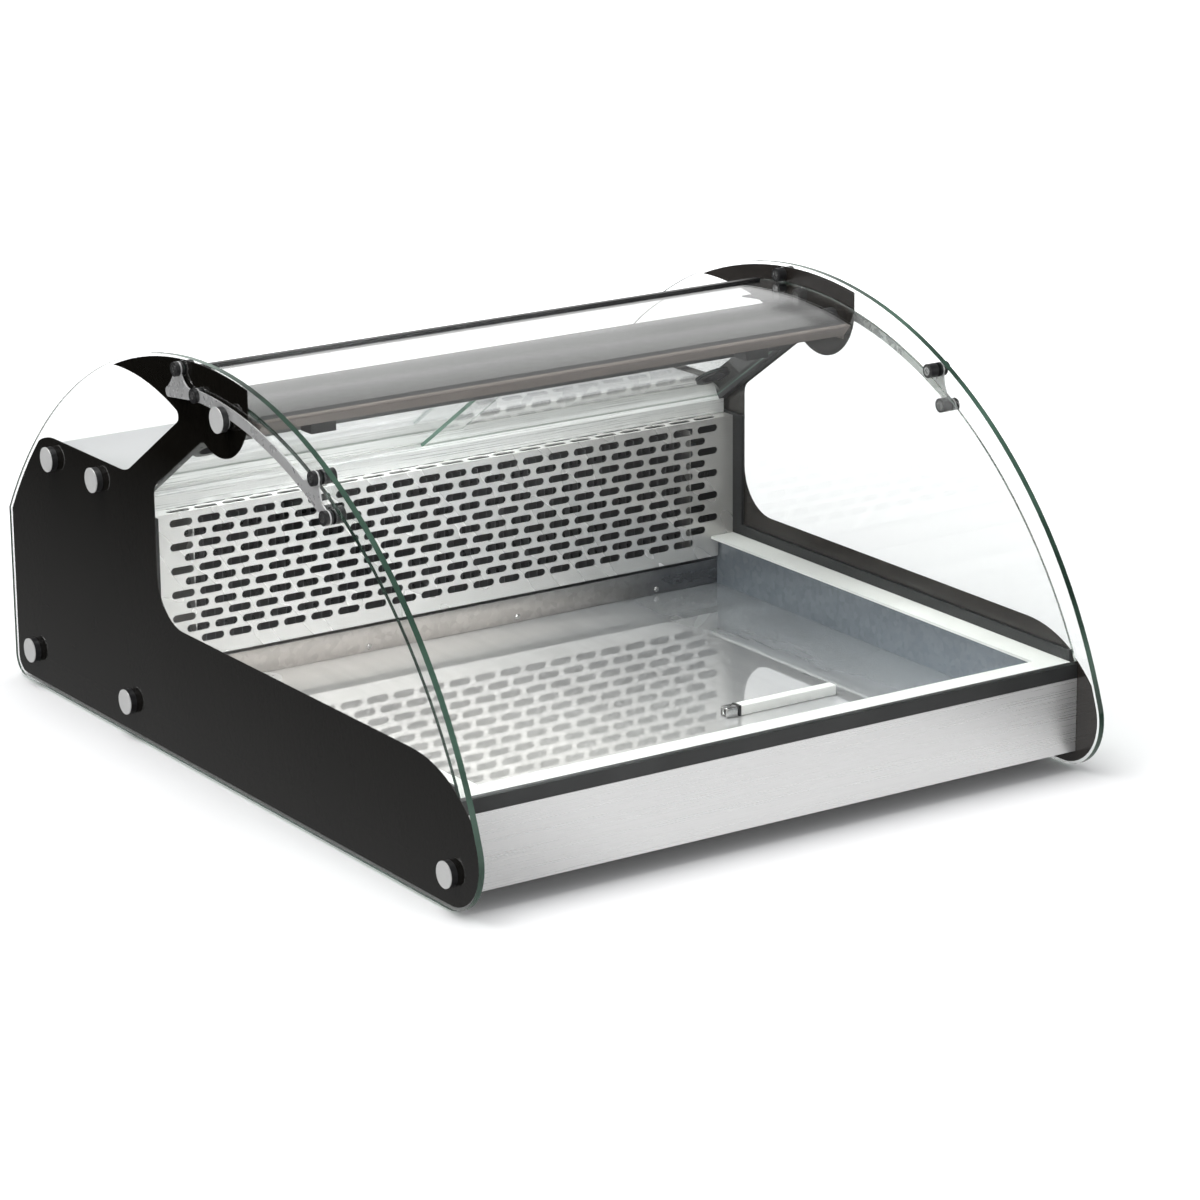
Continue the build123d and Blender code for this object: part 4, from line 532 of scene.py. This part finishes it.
# Rivets of the well and screws of the rear panel: turned heads with a round recess, in rows.
# Each row is a set of points along a line, and one head is set on each by Geometry Nodes.
def head_rows(name):
    """A node tree that sets turned heads along a line, with its sizes as named inputs."""
    tree = bpy.data.node_groups.new(name, "GeometryNodeTree")
    for socket, kind in (("Count", "Int"), ("Start", "Vector"), ("Pitch", "Vector"), ("Turn", "Rotation"),
                         ("Radius", "Float"), ("Height", "Float"), ("Finish", "Material")):
        tree.interface.new_socket(socket, in_out="INPUT", socket_type="NodeSocket" + kind)
    tree.interface.new_socket("Geometry", in_out="OUTPUT", socket_type="NodeSocketGeometry")
    crown_share, recess_share, recess_sink = 0.68, 0.42, -0.6
    sizes, end = tree.nodes.new("NodeGroupInput"), tree.nodes.new("NodeGroupOutput")
    line = add_node(tree.nodes, "GeometryNodeMeshLine", mode="OFFSET")
    head = add_node(tree.nodes, "GeometryNodeMeshCone", sockets={"Vertices": 24})
    crown = add_node(tree.nodes, "ShaderNodeMath", operation="MULTIPLY")
    crown.inputs[1].default_value = crown_share
    rim = add_node(tree.nodes, "GeometryNodeExtrudeMesh", sockets={"Offset Scale": 0.0, "Individual": False})
    narrow = add_node(tree.nodes, "GeometryNodeScaleElements", sockets={"Scale": recess_share})
    deep = add_node(tree.nodes, "ShaderNodeMath", operation="MULTIPLY")
    deep.inputs[1].default_value = recess_sink
    recess = add_node(tree.nodes, "GeometryNodeExtrudeMesh", sockets={"Individual": False})
    rows = tree.nodes.new("GeometryNodeInstanceOnPoints")
    solid = tree.nodes.new("GeometryNodeRealizeInstances")
    finish = tree.nodes.new("GeometryNodeSetMaterial")
    for source, target in (
            (sizes.outputs["Count"], line.inputs["Count"]),
            (sizes.outputs["Start"], line.inputs["Start Location"]),
            (sizes.outputs["Pitch"], line.inputs["Offset"]),
            (sizes.outputs["Radius"], head.inputs["Radius Bottom"]),
            (sizes.outputs["Radius"], crown.inputs[0]),
            (crown.outputs[0], head.inputs["Radius Top"]),
            (sizes.outputs["Height"], head.inputs["Depth"]),
            (head.outputs["Mesh"], rim.inputs["Mesh"]),
            (head.outputs["Top"], rim.inputs["Selection"]),
            (rim.outputs["Mesh"], narrow.inputs["Geometry"]),
            (rim.outputs["Top"], narrow.inputs["Selection"]),
            (narrow.outputs["Geometry"], recess.inputs["Mesh"]),
            (rim.outputs["Top"], recess.inputs["Selection"]),
            (sizes.outputs["Height"], deep.inputs[0]),
            (deep.outputs[0], recess.inputs["Offset Scale"]),
            (line.outputs["Mesh"], rows.inputs["Points"]),
            (recess.outputs["Mesh"], rows.inputs["Instance"]),
            (sizes.outputs["Turn"], rows.inputs["Rotation"]),
            (rows.outputs["Instances"], solid.inputs["Geometry"]),
            (solid.outputs["Geometry"], finish.inputs["Geometry"]),
            (sizes.outputs["Finish"], finish.inputs["Material"]),
            (finish.outputs["Geometry"], end.inputs["Geometry"])):
        tree.links.new(source, target)
    return tree


def row_of_heads(name, tree, body, finish_slot, **sizes):
    """One row of heads as a plain mesh on its body."""
    piece = bpy.data.objects.new(name, bpy.data.meshes.new(name))
    bpy.context.scene.collection.objects.link(piece)
    row = piece.modifiers.new("row", "NODES")
    row.node_group = tree
    for socket in tree.interface.items_tree:
        if socket.in_out == "INPUT":
            row[socket.identifier] = sizes[socket.name.lower()]
    depsgraph = bpy.context.evaluated_depsgraph_get()
    mesh = bpy.data.meshes.new_from_object(piece.evaluated_get(depsgraph))
    piece.modifiers.clear()
    piece.data = mesh
    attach(piece, body)


heads = head_rows("head_rows")
rivet_steel = brushed_steel("rivet_steel", (0.46, 0.45, 0.44), (0.66, 0.65, 0.64),
                            grain=(400, 400, 400), roughness=(0.16, 0.28))
rivet_radius, rivet_height = 0.0031, 0.0012
first_rivet, rivet_line, rivet_pitch = -0.270, 0.0590, 0.172
towards_front, towards_rear = (radians(90), 0, 0), (radians(-90), 0, 0)
row_of_heads("kick_plate_rivets", heads, "cabinet", "bright_steel", count=4,
             start=(first_rivet, plate_front, rivet_line), pitch=(rivet_pitch, 0, 0), turn=towards_front,
             radius=rivet_radius, height=rivet_height, finish=rivet_steel)
back_low, back_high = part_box("rear_back_panel")
screw_radius, screw_height, screw_margin, screw_columns = 0.0038, 0.0021, 0.0080, 5
screw_pitch = (back_high.x - back_low.x - 2 * screw_margin) / (screw_columns - 1)
for edge, height in (("lower", back_low.z + screw_margin), ("upper", back_high.z - screw_margin)):
    row_of_heads(f"rear_panel_screws_{edge}", heads, "cabinet", "bright_steel", count=screw_columns,
                 start=(back_low.x + screw_margin, back_high.y, height), pitch=(screw_pitch, 0, 0),
                 turn=towards_rear, radius=screw_radius, height=screw_height, finish=rivet_steel)


# Insulation: rigid polyurethane foam, foamed in place between the well and the outer sheets.
# It is cream, with fine open cells where it is cut.
def cast_foam(name):
    """Cut rigid foam."""
    material, nodes, links = fresh_material(name)
    cell = noise_field(nodes, links, 700, detail=3)
    skin = add_node(nodes, "ShaderNodeBsdfPrincipled", sockets={"Roughness": 0.9, "IOR": 1.4})
    links.new(shade_between(nodes, links, cell, (0.62, 0.54, 0.36), (0.82, 0.76, 0.58)),
              skin.inputs["Base Color"])
    raise_by(nodes, links, skin, cell, 0.0003)
    wire_up(nodes, links, skin.outputs[0])
    return material


dress(cast_foam("cast_foam"), "insulation")


# Evaporator cover: bright stainless sheet punched with rows of slots, and bent back over the
# coil. It is polished in overlapping swirls, which show as faint slanted bands, and it carries
# painted shade that darkens it to about half towards its right end.
def polished_sheet(name, dark, light, roughness=(0.16, 0.30), metal=1.0):
    """Stainless sheet with the swirls of a polishing pad, and painted shade that darkens it towards the
    right.
    """
    material, nodes, links = fresh_material(name)
    where = add_node(nodes, "ShaderNodeTexCoord")
    tilt = add_node(nodes, "ShaderNodeMapping", sockets={"Rotation": (0, radians(38), 0)})
    swirl = add_node(nodes, "ShaderNodeTexWave", bands_direction="X",
                     sockets={"Scale": 7.0, "Distortion": 2.2, "Detail": 2.0, "Detail Scale": 1.2})
    links.new(where.outputs["Object"], tilt.inputs["Vector"])
    links.new(tilt.outputs["Vector"], swirl.inputs["Vector"])
    patch = noise_field(nodes, links, 7, detail=3)
    scratch = noise_field(nodes, links, 1.0, stretch=(900, 900, 60), detail=3)
    wear = laid_over(nodes, links, swirl.outputs["Fac"], 0.3, spread(nodes, links, patch, 0.0, 0.6))
    skin = add_node(nodes, "ShaderNodeBsdfPrincipled", sockets={"Metallic": metal, "IOR": 2.0})
    # Painted shade: the colour falls to about half from the left of the piece to its right end.
    side = left_to_right(nodes, links, left_end=-0.15, right_end=0.34)
    links.new(multiplied(nodes, links, shade_between(nodes, links, wear, dark, light, 0.1, 0.9),
                     shade_between(nodes, links, side, (1, 1, 1), (0.52, 0.51, 0.50), 0.0, 1.0)),
              skin.inputs["Base Color"])
    links.new(spread(nodes, links, wear, *roughness, 0, 1), skin.inputs["Roughness"])
    raise_by(nodes, links, skin, scratch, 0.000006)
    wire_up(nodes, links, skin.outputs[0])
    return material


cover_steel = polished_sheet("cover_steel", (0.90, 0.89, 0.88), (0.98, 0.975, 0.965),
                             roughness=(0.20, 0.34), metal=0.50)
dress(cover_steel, "evaporator_cover", "evaporator_brackets", "drain_strainer")


# Evaporator and condenser: thin aluminium fins pressed on copper tube. The evaporator behind the
# cover is coloured near-black as painted shade, so that it reads dark through the slots, and the
# condenser at the rear is left bare.
dress(brushed_steel("fin_aluminium", (0.46, 0.47, 0.48), (0.70, 0.71, 0.72), grain=(60, 60, 500),
                    roughness=(0.30, 0.48)),
      "condenser_fins")
# Painted shade: the evaporator's fins and tubes are near-black so that the cover's slots look dark.
dress(powder_coat("painted_shade_fins", (0.05, 0.05, 0.052), (0.16, 0.16, 0.165), grain=300, depth=0.00002),
      "evaporator_fins")
dress(enamel("painted_shade_tubes", (0.010, 0.010, 0.010), (0.03, 0.03, 0.03)), "evaporator_tubes")


def copper(name):
    """Drawn copper tube, bright where it was handled and browned elsewhere."""
    material, nodes, links = fresh_material(name)
    stain = noise_field(nodes, links, 45, detail=5, roughness=0.65)
    skin = add_node(nodes, "ShaderNodeBsdfPrincipled", sockets={"Metallic": 1.0, "IOR": 1.5})
    links.new(shade_between(nodes, links, stain, (0.34, 0.13, 0.07), (0.86, 0.45, 0.29)),
              skin.inputs["Base Color"])
    links.new(spread(nodes, links, stain, 0.42, 0.22), skin.inputs["Roughness"])
    raise_by(nodes, links, skin, stain, 0.00005)
    wire_up(nodes, links, skin.outputs[0])
    return material


dress(copper("copper_tube"), "condenser_tubes", "refrigerant_lines")


# Fans: rotors and square frames of moulded black plastic. The condenser's fan turns in a folded
# steel shroud, which has the same dark coat as the base pan.
dress(moulded_plastic("fan_plastic", (0.012, 0.012, 0.013), (0.03, 0.03, 0.031), roughness=(0.34, 0.5)),
      "evaporator_fan_frames", "evaporator_fan_left", "evaporator_fan_right", "condenser_fan")
dress(dark_coat, "condenser_shroud")


# Rear panels: folded sheet steel, powder coated pale grey, over the machine space and across
# the back, where it has two fields of air slots.
dress(powder_coat("pale_powder_coat", (0.58, 0.585, 0.59), (0.66, 0.665, 0.67), grain=700, depth=0.00004),
      "rear_top_panel", "rear_back_panel")


# Compressor: a welded steel pot on a foot plate, with its terminal cover, all in gloss black
# enamel. It stands on the four rubber bushes.
dress(enamel("pot_enamel", (0.006, 0.006, 0.007), (0.016, 0.016, 0.017), roughness=(0.12, 0.3),
             ripple=0.00006),
      "compressor")


# Rear doors: two panes of 4 mm glass, each with a round finger pull set in a hole. They slide
# in a grooved aluminium track below and a black one above, between black jambs.
dress(float_glass("door_float_glass", "Z", (0.05, 0.15, 0.10), (0.34, 0.52, 0.42)),
      "rear_door_left", "rear_door_right")
dress(brushed_steel("track_aluminium", (0.84, 0.84, 0.83), (0.95, 0.95, 0.94), grain=(6, 900, 900),
                    roughness=(0.24, 0.36), depth=0.00001, metal=0.5),
      "door_track_bottom")
dress(black_plastic, "door_track_top", "door_jambs", "door_pull_left", "door_pull_right")


# Front glass: one 5 mm pane bent to an arc, which slides up and back in the guides at its sides.
# Its edges are ground and dark, and a black rail is glued along its top.
def bent_glass(name, edge_dark, edge_light):
    """Clear bent glass: the two arcs are clear, and its ends and sides are ground edges."""
    material, nodes, links = fresh_material(name)
    face = add_node(nodes, "ShaderNodeBsdfPrincipled", sockets={
        "Base Color": (0.985, 0.995, 0.99, 1), "Transmission Weight": 1.0, "IOR": 1.5, "Roughness": 0.0})
    edge = add_node(nodes, "ShaderNodeBsdfPrincipled", sockets={"Transmission Weight": 0.4, "IOR": 1.5})
    grind = noise_field(nodes, links, 60, detail=4)
    links.new(shade_between(nodes, links, grind, edge_dark, edge_light), edge.inputs["Base Color"])
    links.new(spread(nodes, links, grind, 0.08, 0.25), edge.inputs["Roughness"])
    is_edge = is_over(nodes, links, facing(nodes, links, "X"), limit=0.5)
    wire_up(nodes, links, mix_shaders(nodes, links, is_edge, face.outputs[0], edge.outputs[0]),
            clear_to_shadows=True)
    return material


dress(bent_glass("front_bent_glass", (0.006, 0.014, 0.010), (0.06, 0.12, 0.09)), "front_glass")
dress(black_plastic, "top_rail")


# Canopy: a satin steel hood behind the front glass, with the lamp under it. Its front is bent
# down into a lip, coloured a flat brown-grey as a painted reflection of the floor, below a black
# line along the bend.
canopy_steel = brushed_steel("canopy_steel", (0.34, 0.335, 0.33), (0.44, 0.435, 0.43),
                             grain=(5, 1200, 1200), roughness=(0.16, 0.24), depth=0.000006)
dress(canopy_steel, "canopy_hood")
nodes, links = canopy_steel.node_tree.nodes, canopy_steel.node_tree.links
canopy_skin = [node for node in nodes if node.type == "BSDF_PRINCIPLED"][0]
lip_place = add_node(nodes, "ShaderNodeTexCoord")
lip_axes = add_node(nodes, "ShaderNodeSeparateXYZ")
links.new(lip_place.outputs["Object"], lip_axes.inputs[0])
# Painted reflection: the lip is a flat brown-grey colour in place of the floor mirrored in its steel.
lip_painted_reflection = add_node(nodes, "ShaderNodeBsdfPrincipled", sockets={"Roughness": 0.42, "IOR": 1.48})
lip_ramp = add_node(nodes, "ShaderNodeValToRGB")
lip_ramp.color_ramp.interpolation = "CONSTANT"
lip_ramp.color_ramp.elements[0].color = (0.15, 0.125, 0.112, 1)
lip_ramp.color_ramp.elements[1].color = (0.010, 0.010, 0.010, 1)
lip_ramp.color_ramp.elements[1].position = 0.5
line_foot, line_reach, lip_top = 0.3690, 0.0040, 0.3705
lip_line = add_node(nodes, "ShaderNodeMapRange",
                    sockets={"From Min": line_foot - line_reach, "From Max": line_foot + line_reach})
links.new(lip_axes.outputs["Z"], lip_line.inputs["Value"])
links.new(lip_line.outputs["Result"], lip_ramp.inputs["Fac"])
links.new(lip_ramp.outputs["Color"], lip_painted_reflection.inputs["Base Color"])
above_lip = is_over(nodes, links, lip_axes.outputs["Z"], lip_top)
canopy_out = [node for node in nodes if node.type == "OUTPUT_MATERIAL"][0]
links.new(mix_shaders(nodes, links, above_lip, lip_painted_reflection.outputs[0], canopy_skin.outputs[0]),
          canopy_out.inputs["Surface"])


# Lamp: a frosted tube clipped in two sockets under the canopy, and lit. It is brightest at its
# left end, and fades along its length.
def lit_tube(name):
    """Frosted plastic with light behind it."""
    material, nodes, links = fresh_material(name)
    frost = noise_field(nodes, links, 300, detail=2)
    skin = add_node(nodes, "ShaderNodeBsdfPrincipled", sockets={
        "Emission Color": (0.97, 0.99, 1.0, 1), "IOR": 1.46})
    glow = left_to_right(nodes, links, left_end=-0.26, right_end=0.20, left=42.0, right=1.0)
    links.new(glow, skin.inputs["Emission Strength"])
    links.new(shade_between(nodes, links, frost, (0.86, 0.88, 0.9), (0.95, 0.96, 0.97)),
              skin.inputs["Base Color"])
    links.new(spread(nodes, links, frost, 0.3, 0.5), skin.inputs["Roughness"])
    wire_up(nodes, links, skin.outputs[0])
    return material


dress(lit_tube("lit_tube"), "led_tube")
dress(moulded_plastic("lamp_socket_plastic", (0.03, 0.03, 0.031), (0.06, 0.06, 0.061)), "led_holders")


# Arms, guide fittings and knobs: bent steel strips outside the glass, black caps and sleeves with
# bright screws through them, and the black knobs with bright faces that hold the side glasses.
dress(brushed_steel("arm_steel", (0.56, 0.56, 0.56), (0.72, 0.72, 0.715), grain=(300, 60, 60),
                    roughness=(0.24, 0.34), depth=0.00001, metal=0.5),
      "arm_plate_left", "arm_plate_right")
dress(black_plastic, "fitting_caps", "guide_sleeves", "knob_bodies")
dress(brushed_steel("screw_steel", (0.30, 0.30, 0.30), (0.48, 0.48, 0.48), grain=(300, 300, 300),
                    roughness=(0.1, 0.22), depth=0.00001, metal=0.9),
      "guide_screws")
dress(brushed_steel("knob_steel", (0.62, 0.62, 0.61), (0.72, 0.72, 0.71), grain=(900, 900, 900),
                    roughness=(0.3, 0.42), depth=0.00001, metal=0.25),
      "knob_faces")


# Controls at the rear: a black controller with a window and three grey keys, two rocker switches
# in housings, and the inlet. All are clipped into cut-outs of the back panel.
dress(black_plastic, "controller", "switch_housings", "power_inlet")
dress(enamel("window_black", (0.008, 0.008, 0.009), (0.014, 0.014, 0.016), roughness=(0.04, 0.08),
             ripple=0.000005),
      "controller_window")
dress(moulded_plastic("grey_keys", (0.40, 0.41, 0.43), (0.52, 0.53, 0.55), roughness=(0.4, 0.56)),
      "controller_button_set", "controller_button_down", "controller_button_up", "lamp_switch_rocker")
dress(moulded_plastic("red_rocker", (0.42, 0.02, 0.02), (0.56, 0.035, 0.03), roughness=(0.14, 0.24)),
      "power_switch_rocker")


# Thermometer: a white moulded bar that lies loose on the floor of the well, closed by a black
# collar and a bright square nut with a dark recess in its end. The bar has a raised scale rib.
bar_low, bar_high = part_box("thermometer")
nut_length, nut_wall, recess_depth = 0.014, 0.0014, 0.003
collar_length, collar_step = 0.003, 0.0006
rib_width, rib_height, rib_sink = 0.0024, 0.0008, 0.0004
rib_start, rib_end = 0.030, 0.010
bar_corner, collar_corner, nut_corner, rib_corner = 0.0012, 0.0008, 0.0016, 0.0003
thermometer_bar = soft_block("thermometer_bar",
                             Vector((bar_low.x + nut_length + collar_length, bar_low.y + collar_step,
                                     bar_low.z)),
                             bar_high - Vector((0, collar_step, collar_step)), bar_corner, white_plastic,
                             "thermometer_body")
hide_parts("thermometer")
soft_block("thermometer_collar", Vector((bar_low.x + nut_length, bar_low.y, bar_low.z)),
           Vector((bar_low.x + nut_length + collar_length, bar_high.y, bar_high.z)), collar_corner,
           black_plastic, "thermometer_body")
nut_steel = brushed_steel("nut_steel", (0.52, 0.52, 0.52), (0.72, 0.72, 0.72), grain=(500, 500, 500),
                          roughness=(0.14, 0.26))
thermometer_nut = soft_block("thermometer_nut", Vector((bar_low.x, bar_low.y + collar_step, bar_low.z)),
                             Vector((bar_low.x + nut_length, bar_high.y - collar_step,
                                     bar_high.z - collar_step)),
                             nut_corner, nut_steel, "thermometer_body")
recess = bmesh.new()
recess.from_mesh(thermometer_nut.data)
recess.faces.ensure_lookup_table()
end_face = min(recess.faces, key=lambda face: face.calc_center_median().x)
bmesh.ops.inset_region(recess, faces=[end_face], thickness=nut_wall)
end_face.material_index = 1
bmesh.ops.translate(recess, verts=end_face.verts[:], vec=(recess_depth, 0, 0))
recess.to_mesh(thermometer_nut.data)
recess.free()
thermometer_nut.data.materials.append(black_plastic)
scale_low = Vector((bar_low.x + rib_start, (bar_low.y + bar_high.y - rib_width) / 2,
                    bar_high.z - collar_step - rib_sink))
scale_high = Vector((bar_high.x - rib_end, scale_low.y + rib_width, scale_low.z + rib_height))
soft_block("thermometer_scale_rib", scale_low, scale_high, rib_corner, white_plastic, "thermometer_body")
